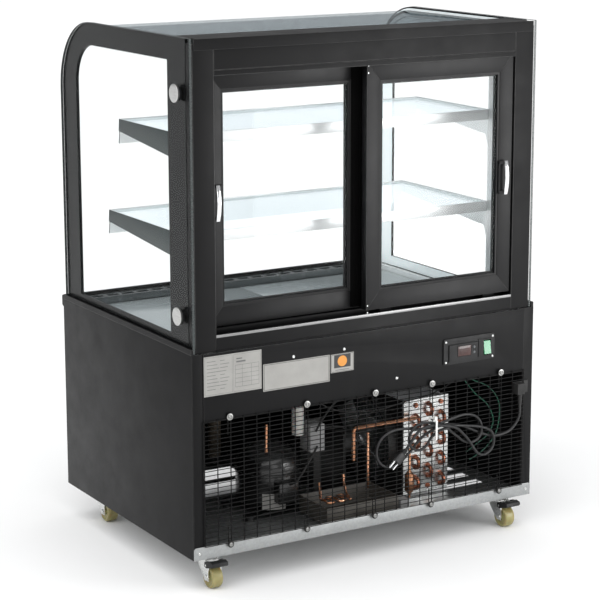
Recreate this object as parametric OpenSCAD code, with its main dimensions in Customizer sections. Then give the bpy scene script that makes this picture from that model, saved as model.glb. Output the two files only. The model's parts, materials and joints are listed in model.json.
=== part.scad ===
// Refrigerated bakery display case with a curved glass front and sliding rear doors.
// Millimetres, +Z up, the floor at z = 0, the customer at -Y and the server at +Y.
// Left and right are as the server sees them, so left is +X.

/* [Case] */
// Width over the steel side panels
case_w = 910; // [880:1:940]
// Depth of the steel base, without its front bead
case_d = 655; // [640:1:670]
// Underside of the base above the floor
base_z0 = 76; // [74:1:80]
// Top of the steel base
base_z1 = 536; // [526:1:546]
// Top of the side glass
case_z1 = 1207; // [1190:1:1220]
// Thickness of the steel sheet
sheet = 2; // [1.5:0.5:3]
// Height of the bead that holds the glass on the base
bead_h = 12; // [8:1:16]

/* [Glass] */
// Outer radius of the side glass at the top of the front
arc_r = 160; // [120:5:200]
// Thickness of an outer pane
pane_t = 6; // [4:0.5:8]
// How far the curved front pane sits inside the edge of the side glass
front_inset = 9; // [6:1:12]
// Width of the black edging at the front of the side glass
edging_front = 76; // [60:1:90]
// Width of the black edging at the rear of the side glass
edging_rear = 112; // [90:1:120]
// Height of the black edging at the top of the side glass
edging_top = 52; // [40:1:60]
// Height of the black edging at the bottom of the side glass
edging_bottom = 13; // [10:1:20]

/* [Sliding doors] */
// Width of one door
door_w = 396; // [392:1:396]
// Bottom of the doors
door_z0 = 580; // [578:1:582]
// Top of the doors
door_z1 = 1135; // [1130:1:1136]
// Depth of a door frame
door_t = 20; // [18:1:20]
// Width of a door's stiles
stile_w = 36; // [30:1:40]
// Height of a door's rails
rail_h = 42; // [36:1:46]
// Width of the bow handle's grip
grip_w = 11; // [8:1:14]

/* [Shelves] */
// Height of the upper shelf's top edge
upper_shelf_z = 992; // [970:1:1010]
// Height of the lower shelf's top edge
lower_shelf_z = 774; // [750:1:790]
// Front edge of the upper shelf
upper_shelf_y = -103; // [-130:1:-80]
// Front edge of the lower shelf
lower_shelf_y = -165; // [-190:1:-150]
// Height of the deck that the lowest goods stand on
deck_z = 523; // [518:1:526]

/* [Guard and screws] */
// Distance between the guard's upright wires
wire_pitch = 32.5; // [32:0.5:33]
// Distance between the guard's level wires
cross_pitch = 10; // [9:1:12]
// Thickness of an upright wire
wire_d = 2.4; // [2:0.1:2.6]
// Thickness of a level wire
cross_d = 1.8; // [1.4:0.1:2]

/* [Casters] */
// Diameter of a caster wheel
wheel_d = 50; // [48:1:50]
// Width of a caster wheel
wheel_w = 26; // [22:1:27]
// Distance between a caster's swivel axis and its axle
trail = 22; // [18:1:24]

/* [Power lead] */
// Diameter of the power lead
cord_d = 6.5; // [6:0.5:7.5]

/* [Hidden] */
$fn = 48;

// Colours
black_steel = [0.16, 0.16, 0.165];
black_plastic = [0.07, 0.07, 0.075];
zinc = [0.66, 0.68, 0.69];
stainless = [0.75, 0.76, 0.76];
chrome = [0.85, 0.86, 0.88];
clear_glass = [0.78, 0.88, 0.87, 0.35];
white_foam = [0.86, 0.87, 0.85];
copper = [0.72, 0.40, 0.25];
amber = [0.66, 0.58, 0.30];

// Main planes
half_w = case_w / 2;
rear_y = 324;
front_y = rear_y - case_d;
glass_z0 = base_z1;
glass_rear_y = rear_y - 5.5;
glass_x = half_w - 6;
flange_w = 28;
rail_z1 = base_z0 + 29;
opening_x = half_w - flange_w;
panel_z0 = 385;
post_in_x = 391;

// Door tracks
outer_door_y = 293.5;
inner_door_y = 255.5;
track_z = 566;
header_z0 = 1127;
header_z1 = 1182;
door_edge_x = post_in_x - 3;

// Gap left at a seam between two pieces that are screwed or riveted together
seam_gap = 0.1;

// A box between two corners
module span(a, b) {
    translate(a) cube([b[0] - a[0], b[1] - a[1], b[2] - a[2]]);
}

// A flat outline in Y and Z, pushed along X
module along_x(x0, x1) {
    translate([x0, 0, 0]) rotate([90, 0, 90]) linear_extrude(x1 - x0) children();
}

// A flat outline in X and Z, pushed along Y
module along_y(y0, y1) {
    translate([0, y1, 0]) rotate([90, 0, 0]) linear_extrude(y1 - y0) children();
}

// The same shape on the left (1) or the right (-1)
module on_side(side) {
    mirror([side < 0 ? 1 : 0, 0, 0]) children();
}

module both_sides() {
    for (side = [1, -1]) on_side(side) children();
}

module rod_x(p, length, d) {
    translate(p) rotate([0, 90, 0]) cylinder(d = d, h = length);
}

module rod_y(p, length, d) {
    translate(p) rotate([-90, 0, 0]) cylinder(d = d, h = length);
}

module rod_z(p, length, d) {
    translate(p) cylinder(d = d, h = length);
}

// A quarter bend of round tube, from +X at the start to +Y at the end, in the XY plane
module bend(radius, d, angle = 90) {
    rotate_extrude(angle = angle) translate([radius, 0]) circle(d = d);
}

// ---------------------------------------------------------------- base

vent_slots_y = [50, 108, 167];
module floor_pan() {
    in_x = half_w - sheet;
    color(zinc) {
        difference() {
            span([-in_x, front_y + sheet, base_z0], [in_x, rear_y - sheet - seam_gap, base_z0 + sheet]);
            // Air slots under the condenser
            for (y = vent_slots_y) span([-411, y, base_z0 - 1], [-190, y + 29, base_z0 + 3]);
            // Two large air openings beside the compressor
            span([55, -240, base_z0 - 1], [300, -164, base_z0 + 3]);
            span([55, -140, base_z0 - 1], [300, -50, base_z0 + 3]);
        }
        // Rear rail with chamfered top corners
        along_y(rear_y - sheet, rear_y) polygon([[-half_w + 0.5, base_z0], [half_w - 0.5, base_z0],
            [half_w - 0.5, rail_z1 - 4], [half_w - 4.5, rail_z1], [-half_w + 4.5, rail_z1],
            [-half_w + 0.5, rail_z1 - 4]]);
    }
}

// A steel side with a return flange at the rear
module side_panel() {
    y1 = rear_y - sheet;
    z0 = base_z0 + sheet;
    color(black_steel) difference() {
        union() {
            span([half_w - sheet, front_y + sheet, base_z0], [half_w, y1, base_z1]);
            span([opening_x, y1 - sheet, z0], [half_w - sheet - seam_gap, y1, base_z1]);
            span([opening_x, y1 - 16, z0], [opening_x + sheet, y1 - sheet - seam_gap, base_z1]);
            span([opening_x - 12, y1 - sheet, panel_z0], [opening_x, y1, base_z1]);
        }
        // Clearance for the rear rail's fixing screw
        rod_y([half_w - 14, y1 - 3, base_z0 + 15], 6, 4.4);
    }
}

module side_panel_left() { on_side(1) side_panel(); }
module side_panel_right() { on_side(-1) side_panel(); }

// The front skin and the returns that fix it to the sides
module front_panel() {
    color(black_steel) {
        span([-half_w, front_y, base_z0], [half_w, front_y + sheet, base_z1]);
        both_sides() span([half_w - 2 * sheet, front_y + sheet + seam_gap, base_z0 + sheet],
            [half_w - sheet, front_y + 18, base_z1]);
    }
}

// Beads that hold the side glass and the front glass on the base
module base_bead() {
    z1 = base_z1 + bead_h;
    color(black_steel) {
        both_sides() span([glass_x + 0.2, front_y + 2 + seam_gap, base_z1], [half_w, rear_y - sheet, z1]);
        // Rounded nose along the front
        along_x(-half_w, half_w) union() {
            intersection() {
                union() {
                    translate([front_y - 2, base_z1 - 12]) circle(d = 12);
                    translate([front_y - 8, base_z1 - 12]) square([8, 16]);
                    translate([front_y - 2, base_z1 + 4]) circle(d = 12);
                }
                translate([front_y - 9, base_z1 - 20]) square([9, 40]);
            }
            translate([front_y - 1, base_z1]) square([3, 9.9]);
        }
    }
}

// The steel cover above the guard
module service_panel() {
    switch_x = [-330, -293];
    color(black_steel) difference() {
        span([-opening_x, rear_y - sheet, panel_z0], [opening_x, rear_y, base_z1 - 1]);
        // Cut-outs for the thermostat and the switch
        span([-289, rear_y - sheet - 1, 435], [-211, rear_y + 1, 473]);
        span([switch_x[0], rear_y - sheet - 1, 437], [switch_x[1], rear_y + 1, 478]);
    }
}

// A pan-head screw that points out of the rear face
module pan_screw(x, y, z, head_d, head_h) {
    color(chrome) translate([x, y, z]) rotate([-90, 0, 0]) difference() {
        union() {
            cylinder(d = head_d, h = head_h * 0.55);
            translate([0, 0, head_h * 0.55]) cylinder(d1 = head_d, d2 = head_d * 0.6, h = head_h * 0.45);
        }
        for (turn = [0, 90]) rotate(turn)
            translate([-head_d * 0.3, -0.4, head_h * 0.6]) cube([head_d * 0.6, 0.8, head_h]);
    }
}

panel_screw_at = [[203, 502], [72, 502], [-69, 416]];
bezel_screw_at = [[-202, 482], [-334, 482], [-334, 434], [-202, 434]];
module panel_screws() {
    for (p = panel_screw_at) pan_screw(p[0], rear_y, p[1], 7, 2.4);
    for (p = bezel_screw_at) pan_screw(p[0], rear_y + 3, p[1], 5.5, 2);
    // Two screws on each end of the rear rail
    for (side = [-1, 1]) pan_screw(side * (half_w - 14), rear_y, base_z0 + 15, 7, 2.4);
}

// Blank plates in place of the rating label, the notice and the mark
label_boxes = [[284, 441, 142, 88], [110, 433, 170, 61], [47, 451, 60, 42]];
module label_plates() {
    color([0.84, 0.84, 0.80]) for (b = label_boxes)
        span([b[0], rear_y, b[1]], [b[0] + b[2], rear_y + 0.6, b[1] + b[3]]);
}

// ---------------------------------------------------------------- wire guard

screw_x = [366.1, 171.1, -8.9, -163.9, -358.9];
screw_z = [390.5, 101.5];
wire_y = rear_y + 0.3 + wire_d / 2;
cross_y = wire_y + wire_d / 2 + cross_d / 2 + 0.1;
hook_r = 3.6;
guard_z = [104, 388];
gland_z = [333, 359];
washer_y = cross_y + cross_d / 2 + 0.1;

// The upright wires run from both ends towards the middle
function wire_x() = concat([12.5], [for (k = [0:12]) 37.5 + wire_pitch * k]);

module mesh_guard() {
    color(black_plastic) {
        both_sides() for (x = wire_x()) rod_z([x, wire_y, guard_z[0]], guard_z[1] - guard_z[0], wire_d);
        for (z = [guard_z[0] + 1:cross_pitch:guard_z[1]]) {
            // Three level wires stop short of the lead's outlet
            x0 = z > gland_z[0] - 2 && z < gland_z[1] + 2 ? -396 : -opening_x - 1;
            rod_x([x0, cross_y, z], opening_x + 1 - x0, cross_d);
        }
        // A hook round each screw, and its short second leg
        for (x = screw_x, end = [0, 1]) translate([x, wire_y, screw_z[end]])
            mirror([0, 0, end]) {
                rotate([90, 0, 0]) bend(hook_r, wire_d, 180);
                rod_z([hook_r, 0, -40], 40, wire_d);
                rod_z([-hook_r, 0, -2.6], 2.6, wire_d);
            }
    }
}

module guard_screws() {
    for (x = screw_x, z = screw_z) {
        color(chrome) {
            rod_y([x, washer_y, z], 1.3, 15);
            rod_y([x, rear_y, z], washer_y - rear_y, 4);
        }
        pan_screw(x, washer_y + 1.3, z, 9.5, 3.4);
    }
}

// ---------------------------------------------------------------- controls

bezel = [-340, -196, 428, 489];
rocker_axis = [-318.5, rear_y + 1, 457];
module control_bezel() {
    w = bezel[1] - bezel[0];
    h = bezel[3] - bezel[2];
    corner = 5;
    color(black_plastic) {
        difference() {
            translate([bezel[0] + corner, rear_y + 3, bezel[2] + corner]) rotate([90, 0, 0])
                linear_extrude(3) offset(r = corner) square([w - 2 * corner, h - 2 * corner]);
            span([-289, rear_y - 1, 435], [-211, rear_y + 4, 473]);
            span([-330, rear_y - 1, 437], [-293, rear_y + 4, 478]);
        }
        // Switch housing through the panel, with a raised frame
        difference() {
            span([-330, rear_y - 22, 437], [-293, rear_y + 5, 478]);
            span([-328, rear_y - 20, 439.3], [-308, rear_y + 6, 474.7]);
        }
        // Pins that the rocker tips on
        rod_x([-329, rocker_axis[1], rocker_axis[2]], 3.3, 2.9);
        rod_x([-310.3, rocker_axis[1], rocker_axis[2]], 3.3, 2.9);
    }
}

window = [-271, -234, 445, 469];
module thermostat_body() {
    color(black_plastic) difference() {
        union() {
            span([-288, rear_y - 22, 436], [-212, rear_y, 472]);
            span([-290, rear_y + 3, 434], [-210, rear_y + 6, 474]);
            span([-288, rear_y - 0.5, 436], [-212, rear_y + 4, 472]);
        }
        span([window[0], rear_y + 4.6, window[2]], [window[1], rear_y + 7, window[3]]);
        for (z = [451, 463]) rod_y([-280, rear_y + 2, z], 6, 7.4);
    }
}

module display_window() {
    color([0.25, 0.03, 0.03]) span([window[0] + 0.2, rear_y + 4.6, window[2] + 0.2],
        [window[1] - 0.2, rear_y + 6.2, window[3] - 0.2]);
}

module thermostat_key(z) {
    color([0.3, 0.31, 0.33]) translate([-280, 0, z]) rotate([-90, 0, 0]) {
        translate([0, 0, rear_y + 3.4]) cylinder(d = 6.8, h = 3);
        translate([0, 0, rear_y + 6.4]) cylinder(d1 = 6.8, d2 = 5.2, h = 0.8);
    }
}

module key_up() { thermostat_key(463); }
module key_down() { thermostat_key(451); }

// A rocker that tips about a level pin
module rocker_switch() {
    color([0.05, 0.45, 0.22]) difference() {
        along_x(-327.4, -308.6) polygon([[rear_y - 8, 450], [rear_y + 3, 441], [rear_y + 8, 441.6],
            [rear_y + 5.2, 457], [rear_y + 3.6, 472], [rear_y - 1, 473], [rear_y - 8, 464]]);
        rod_x([-329, rocker_axis[1], rocker_axis[2]], 3.5, 3);
        rod_x([-310.5, rocker_axis[1], rocker_axis[2]], 3.5, 3);
    }
}

// ---------------------------------------------------------------- cold well

tub_x = half_w - 6;
tub_y = [front_y + 6, 300];
tub_z0 = 405;
well_x = 424;
well_low_x = 403;
well_floor = 445;
well_y = [-316, 246];
module insulated_tub() {
    color(white_foam) difference() {
        union() {
            span([-tub_x, tub_y[0], tub_z0], [tub_x, tub_y[1], base_z1]);
            // Drain spout
            rod_z([0, 120, tub_z0 - 25], 26, 26);
        }
        span([-well_x, well_y[0], deck_z - 14], [well_x, well_y[1], base_z1 + 1]);
        // The deck rests on the ledge left at each side
        span([-well_low_x, well_y[0], well_floor], [well_low_x, well_y[1], base_z1]);
        rod_z([0, 120, tub_z0 - 30], 90, 18);
    }
}

deck_y = [-278, 244];
module deck_panels() {
    seam = 1;
    color(stainless) both_sides() difference() {
        union() {
            span([seam, deck_y[0], deck_z - sheet], [422, deck_y[1], deck_z]);
            for (x = [seam, 420]) span([x, deck_y[0], deck_z - 14],
                [x + sheet, deck_y[1], deck_z - sheet - seam_gap]);
        }
        // Notch for the shelf upright
        span([403, 198, deck_z - 20], [430, 250, deck_z + 1]);
        // Return-air slots along the rear
        for (k = [0:5]) span([40 + 62 * k, 214, deck_z - 3], [82 + 62 * k, 222, deck_z + 1]);
    }
}

// Folded sheet that turns the cold air up behind the front glass
module air_duct() {
    color(stainless) difference() {
        along_x(-well_low_x + 1, well_low_x - 1) polygon([[-312, 470], [-310, 470], [-310, 538], [-282, 538],
            [-282, 525], [-278.4, 525], [-278.4, 540], [-312, 540]]);
        for (k = [-10:9]) span([40 * k + 6, -305, 537], [40 * k + 34, -288, 541]);
    }
    // Fan motor and its shaft, on the floor of the well
    color(black_plastic) {
        rod_z([fan_c[0], fan_c[1], well_floor], 20, 44);
        rod_z([fan_c[0], fan_c[1], well_floor + 20], 13, 5.9);
    }
}

coil_y = [20, 140];
module evaporator_coil() {
    color([0.72, 0.75, 0.77]) for (k = [0:23])
        span([-180 + 20 * k, coil_y[0], well_floor], [-178.4 + 20 * k, coil_y[1], 506]);
    color(copper) for (row = [0:1], col = [0:3]) {
        y = coil_y[0] + 15 + 30 * col;
        z = 466 + 26 * row;
        rod_x([-192, y, z], 488, 9);
    }
}

fan_c = [60, -130, 466];
module evaporator_fan() {
    color(black_plastic) translate(fan_c) {
        difference() {
            cylinder(d = 34, h = 20);
            translate([0, 0, -1]) cylinder(d = 6, h = 15);
        }
        for (k = [0:4]) rotate(72 * k) translate([16, -13, 8]) rotate([24, 0, 0]) cube([44, 26, 1.6]);
    }
}

// ---------------------------------------------------------------- machine compartment

comp = [140, 100];
module compressor() {
    shell_r = 76;
    color(black_steel) {
        translate([comp[0], comp[1], 0]) {
            translate([0, 0, 96]) rotate_extrude() polygon(concat([[0, 0], [54, 0], [shell_r - 4, 10], [shell_r, 24],
                [shell_r, 92]], [for (a = [10:10:90]) [shell_r * cos(a), 92 + 62 * sin(a)]]));
            // Base plate with two feet strips
            span([-92, -62, 88], [92, -42, 91]);
            span([-92, 42, 88], [92, 62, 91]);
            span([-50, -42, 91], [50, 42, 96]);
            span([-50, -62, 91], [50, -42, 93]);
            span([-50, 42, 91], [50, 62, 93]);
            // Terminal cover
            span([-24, 74, 120], [26, 98, 168]);
        }
    }
    // Rubber feet
    color([0.12, 0.12, 0.12]) for (dx = [-80, 80], dy = [-52, 52])
        rod_z([comp[0] + dx, comp[1] + dy, base_z0 + sheet], 88 - base_z0 - sheet, 24);
}

cond_x = [-303, -175];
cond_y = [-40, 196];
cond_z = [82, 316];
module condenser_coil() {
    rows = 9;
    // End plates and fins
    color(zinc) {
        for (y = [cond_y[0], cond_y[1]])
            span([cond_x[0], y, cond_z[0]], [cond_x[1], y + 1.6, cond_z[1]]);
    }
    color([0.80, 0.82, 0.83]) for (k = [0:21])
        span([cond_x[0] + 3, cond_y[0] + 12 + 10 * k, cond_z[0] + 4],
            [cond_x[1] - 3, cond_y[0] + 13.2 + 10 * k, cond_z[1] - 3]);
    // Tubes and return bends, three columns deep
    color(copper) for (col = [0:2], row = [0:rows - 1]) {
        x = cond_x[0] + 22 + 36 * col;
        z = cond_z[0] + 16 + 25.4 * row;
        rod_y([x, cond_y[0] - 3, z], cond_y[1] - cond_y[0] + 7, 9.5);
        if ((row + col) % 2 == 0 && row < rows - 1)
            translate([x, cond_y[1] + 4, z + 12.7]) rotate([0, -90, 0]) bend(12.7, 9.5, 180);
        if ((row + col) % 2 == 1 && row < rows - 1)
            translate([x, cond_y[0] - 3, z + 12.7]) rotate([180, -90, 0]) bend(12.7, 9.5, 180);
    }
}

cfan = [-128, 78, 200];
module fan_shroud() {
    plate_x = cond_x[1] + 6;
    color(black_steel) {
        difference() {
            span([plate_x, cond_y[0] - 4, base_z0 + sheet], [plate_x + 2, cond_y[1] + 6, 318]);
            rod_x([plate_x - 1, cfan[1], cfan[2]], 4, 206);
        }
        difference() {
            rod_x([plate_x + 2, cfan[1], cfan[2]], 26, 214);
            rod_x([plate_x + 1, cfan[1], cfan[2]], 28, 206);
        }
        // Motor on a three-armed bracket
        difference() {
            rod_x([-92, cfan[1], cfan[2]], 62, 76);
            rod_x([-93, cfan[1], cfan[2]], 20, 8.1);
        }
        span([-78, cfan[1] - 16, base_z0 + sheet], [-44, cfan[1] + 16, cfan[2] - 30]);
        span([-30, cfan[1] - 110, base_z0 + sheet], [-28, cfan[1] + 86, 250]);
    }
}

module condenser_fan() {
    color([0.62, 0.64, 0.65]) translate(cfan) rotate([0, 90, 0]) {
        difference() {
            translate([0, 0, -10]) cylinder(d = 44, h = 22);
            translate([0, 0, -11]) cylinder(d = 8.4, h = 15);
        }
        translate([0, 0, 12]) cylinder(d = 8, h = 30);
        for (k = [0:4]) rotate(72 * k) translate([20, -24, -2]) rotate([26, 0, 0]) cube([74, 48, 1.6]);
    }
}

// Copper lines, the spun drier and the insulated suction line
module refrigerant_lines() {
    color(copper) {
        // Discharge line across to the condenser
        rod_x([-200, 214, 276], 168, 9);
        translate([-32, 214, 268]) rotate([90, 0, 0]) bend(8, 9, 90);
        rod_z([-24, 214, 200], 68, 9);
        // Liquid line beside the fan motor
        rod_z([-62, 216, 128], 134, 7);
        // Drier
        translate([-166, 236, 92]) rotate_extrude() polygon([[0, 0], [3.2, 0], [3.2, 8], [11, 18],
            [11, 56], [3.2, 66], [3.2, 76], [0, 76]]);
        rod_z([-166, 236, 168], 44, 6.4);
        // Process tube over the compressor
        rod_z([172, 148, 232], 67, 7);
    }
    // Foam sleeve on the suction line
    color([0.16, 0.15, 0.12]) {
        rod_x([45.1, -40, 330], 144.8, 30);
        rod_z([30, -40, 330], tub_z0 - 330, 30);
        translate([205, -40, 330]) sphere(d = 30);
        translate([30, -40, 330]) sphere(d = 30);
        rod_z([205, -40, 180], 150, 30);
    }
}

// Louvred relay box on its stand, a junction box, and the sleeve that brings the wires down
module electrical_box() {
    color([0.45, 0.46, 0.47]) {
        span([44, 150, 230], [82, 196, 294]);
        span([-126, 262, 84], [-102, 296, 112]);
    }
    color([0.70, 0.70, 0.68]) rod_z([100, 169, 270], tub_z0 - 270, 28);
    color(zinc) span([28, 148, base_z0 + sheet], [46, 150 - seam_gap, 294]);
}

// A tray that boils off the defrost water on a hot-gas loop
pan_box = [-98, 96, 168, 292];
module condensate_pan() {
    z0 = base_z0 + sheet + 4;
    color([0.25, 0.23, 0.18]) difference() {
        span([pan_box[0], pan_box[2], z0], [pan_box[1], pan_box[3], z0 + 42]);
        span([pan_box[0] + 2, pan_box[2] + 2, z0 + 2], [pan_box[1] - 2, pan_box[3] - 2, z0 + 43]);
    }
    color(copper) {
        for (y = [196, 230, 264]) rod_x([pan_box[0] + 14, y, z0 + 10], 166, 8);
        for (x = [pan_box[0] + 30, pan_box[1] - 30]) span([x - 4, 188, z0 + 2], [x + 4, 272, z0 + 8]);
    }
    color(zinc) for (x = [pan_box[0] + 8, pan_box[1] - 20])
        span([x, pan_box[2] + 10, base_z0 + sheet], [x + 12, pan_box[3] - 10, z0]);
}

// ---------------------------------------------------------------- glass house

// Side outline in Y and Z: square at the rear, rounded at the top of the front
module house_outline(inset, z0) {
    r = arc_r - inset;
    y0 = front_y + 2 + inset;
    z1 = case_z1 - inset;
    translate([y0 + r, z0]) square([glass_rear_y - y0 - r, z1 - z0]);
    translate([y0, z0]) square([r, z1 - r - z0]);
    intersection() {
        translate([y0 + r, z1 - r]) circle(r = r, $fn = 96);
        translate([y0, z1 - r - 0.01]) square([r, r + 0.01]);
    }
}

edging_x = glass_x - pane_t;
post_y0 = 290;
module side_glasses() {
    color(clear_glass) both_sides() {
        along_x(edging_x, glass_x) house_outline(0, glass_z0);
        // Inner pane of the sealed unit
        along_x(edging_x - 12, edging_x - 8) intersection() {
            house_outline(24, glass_z0 + 1);
            translate([front_y, glass_z0]) square([post_y0 - front_y - 1, 700]);
        }
    }
}

// Black edging between the two panes, round the clear opening
module side_edgings() {
    clear_y = [front_y + edging_front, glass_rear_y - edging_rear];
    clear_z = [glass_z0 + bead_h + edging_bottom, case_z1 - edging_top];
    clear_r = 90;
    color(black_plastic) both_sides() along_x(edging_x - 8, edging_x) difference() {
        intersection() {
            house_outline(4, glass_z0 + 1);
            translate([front_y, glass_z0]) square([post_y0 - front_y - 1, 700]);
        }
        union() {
            translate([clear_y[0] + clear_r, clear_z[0]])
                square([clear_y[1] - clear_y[0] - clear_r, clear_z[1] - clear_z[0]]);
            translate([clear_y[0], clear_z[0]]) square([clear_r, clear_z[1] - clear_z[0] - clear_r]);
            translate([clear_y[0] + clear_r, clear_z[1] - clear_r]) circle(r = clear_r, $fn = 96);
        }
    }
}

// One bent pane that forms the front and most of the top
front_glass_x = edging_x - 13;
module front_glass() {
    color(clear_glass) along_x(-front_glass_x, front_glass_x) difference() {
        intersection() {
            house_outline(front_inset, glass_z0);
            translate([front_y, glass_z0]) square([219 - front_y, 700]);
        }
        house_outline_inner();
    }
}

module house_outline_inner() {
    inset = front_inset + pane_t;
    r = arc_r - inset;
    y0 = front_y + 2 + inset;
    z1 = case_z1 - inset;
    translate([y0 + r, glass_z0]) square([600, z1 - glass_z0]);
    translate([y0, glass_z0]) square([r + 1, z1 - r - glass_z0]);
    translate([y0 + r, z1 - r]) circle(r = r, $fn = 96);
}

// Round caps that clamp the side glass to the posts
standoff_at = [[265, 1090], [265, 611]];
module glass_standoffs() {
    both_sides() for (p = standoff_at) {
        color(black_plastic) rod_x([glass_x, p[0], p[1]], 4, 36);
        color(stainless) translate([glass_x + 4, p[0], p[1]]) rotate([0, 90, 0]) {
            cylinder(d = 40, h = 5);
            translate([0, 0, 5]) cylinder(d1 = 40, d2 = 37, h = 1.5);
        }
    }
}

// Welded posts and header round the door opening
module rear_frame() {
    post_y1 = glass_rear_y - 0.5;
    color(black_steel) {
        both_sides() {
            span([post_in_x, 252, base_z1], [430, post_y1, header_z1 + 14]);
            span([430, post_y0, base_z1], [edging_x - 1, post_y1, header_z1 + 14]);
        }
        // Header with two grooves for the tops of the doors
        head_x = post_in_x - seam_gap;
        head_z = 1139;
        span([-head_x, 248, head_z], [head_x, post_y1, header_z1 + 14]);
        for (y = [[248, 252.5], [281.5, 287.5], [315.3, post_y1]])
            span([-head_x, y[0], header_z0], [head_x, y[1], head_z - seam_gap]);
    }
}

// Track that the doors slide in
module rear_sill() {
    sill_y1 = glass_rear_y - 0.5;
    sill_x = post_in_x - seam_gap;
    color(black_steel) {
        span([-sill_x, 248, base_z1], [sill_x, sill_y1, track_z]);
        for (lip = [[248, 252.5, 590], [282, 287.5, 579], [315.3, sill_y1, 572]])
            span([-sill_x, lip[0], track_z + seam_gap], [sill_x, lip[1], lip[2]]);
    }
    // Bright trim under the sill
    color(stainless) span([-post_in_x, sill_y1, base_z1 - 0.5], [post_in_x, sill_y1 + 3, base_z1 + 2.5]);
}

// Folded cap over the header
module top_cap() {
    cap_x = front_glass_x;
    color(black_steel) {
        span([-cap_x, 219.5, header_z1 + 14], [cap_x, glass_rear_y, case_z1 - 7]);
        span([-cap_x, 219.5, case_z1 - 7], [cap_x, 224, case_z1 - 2]);
        span([-cap_x, 224, case_z1 - 7], [cap_x, glass_rear_y, case_z1 - 1]);
        span([-post_in_x - 48, glass_rear_y - 0.5, header_z1], [post_in_x + 48, glass_rear_y + 2, case_z1 - 1]);
    }
}

// Light bar under the front of the cap
module light_bar() {
    color(zinc) span([-385, 224, 1184], [385, 248, header_z1 + 14]);
    color([0.95, 0.95, 0.92]) span([-380, 227, 1181], [380, 244, 1184]);
}

// ---------------------------------------------------------------- sliding doors

// A door's outline runs from x = 0 at its meeting stile to x = door_w
glass_gap = 3;
module door_frame() {
    w = door_w;
    z = [door_z0, door_z0 + rail_h, door_z1 - rail_h, door_z1];
    x = [0, stile_w, w - stile_w, w];
    g = seam_gap;
    bars = [
        [[x[0] + g, z[0]], [x[3] - g, z[0]], [x[2] - g, z[1]], [x[1] + g, z[1]]],
        [[x[1] + g, z[2]], [x[2] - g, z[2]], [x[3] - g, z[3]], [x[0] + g, z[3]]],
        [[x[0], z[0]], [x[1], z[1]], [x[1], z[2]], [x[0], z[3]]],
        [[x[3], z[0]], [x[3], z[3]], [x[2], z[2]], [x[2], z[1]]]
    ];
    color(black_steel) {
        for (b = bars) along_y(0, door_t) polygon(b);
        // Nylon glides under the bottom rail
        for (gx = [40, w - 70]) span([gx, 5, track_z + 0.4], [gx + 30, door_t - 5, door_z0]);
    }
}

module door_glass() {
    color(clear_glass) for (y = [4, door_t - 8])
        span([stile_w, y, door_z0 + rail_h], [door_w - stile_w, y + 4, door_z1 - rail_h]);
}

// A bow handle: black base beside the glass, two arms, and a chrome grip
handle_z = [813, 889];
handle_out = 14.6;
base_offset = 12;
module door_handle() {
    x = door_w - 22;
    y = door_t;
    color(black_plastic) {
        span([x - base_offset - 3, y, handle_z[0]], [x - base_offset + 3, y + 3, handle_z[1]]);
        for (z = [handle_z[0], handle_z[1] - 7])
            span([x - base_offset - 3, y + 3 + seam_gap, z], [x + 3.5, y + handle_out - 4.5 - seam_gap, z + 7]);
    }
    color(chrome) {
        // The grip bows outwards by a few millimetres
        along_x(x - grip_w / 2, x + grip_w / 2) polygon([[y + handle_out - 4, handle_z[0] - 1],
            [y + handle_out - 1, handle_z[0] - 1], [y + handle_out + 2, 828],
            [y + handle_out + 2.8, 851], [y + handle_out + 2, 874], [y + handle_out - 1, handle_z[1] + 1],
            [y + handle_out - 4, handle_z[1] + 1], [y + handle_out - 1.2, 874],
            [y + handle_out - 0.4, 851], [y + handle_out - 1.2, 828]]);
    }
}

// The left door runs in the inner track, the right one in the outer track
module left_door_place() { translate([door_edge_x - door_w, inner_door_y, 0]) children(); }
module right_door_place() { mirror([1, 0, 0]) translate([door_edge_x - door_w, outer_door_y, 0]) children(); }

module door_left_frame() { left_door_place() door_frame(); }
module door_left_glass() { left_door_place() door_glass(); }
module door_left_handle() { left_door_place() door_handle(); }
module door_right_frame() { right_door_place() door_frame(); }
module door_right_glass() { right_door_place() door_glass(); }
module door_right_handle() { right_door_place() door_handle(); }

// ---------------------------------------------------------------- shelves

shelf_x = 408;
shelf_rear_y = 198;
shelves = [[upper_shelf_y, upper_shelf_z], [lower_shelf_y, lower_shelf_z]];
rail_drop = 57;

// Side bracket outline in Y and Z, measured from the shelf's top edge
module bracket_outline(y0, z) {
    y1 = shelf_rear_y;
    polygon([[y0, z], [y0 - 3, z - 28], [y1 - 36, z - 57], [y1 - 14, z - 58], [y1 - 9, z - 62],
        [y1 - 3, z - 80], [y1, z - 82], [y1, z]]);
}

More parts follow.
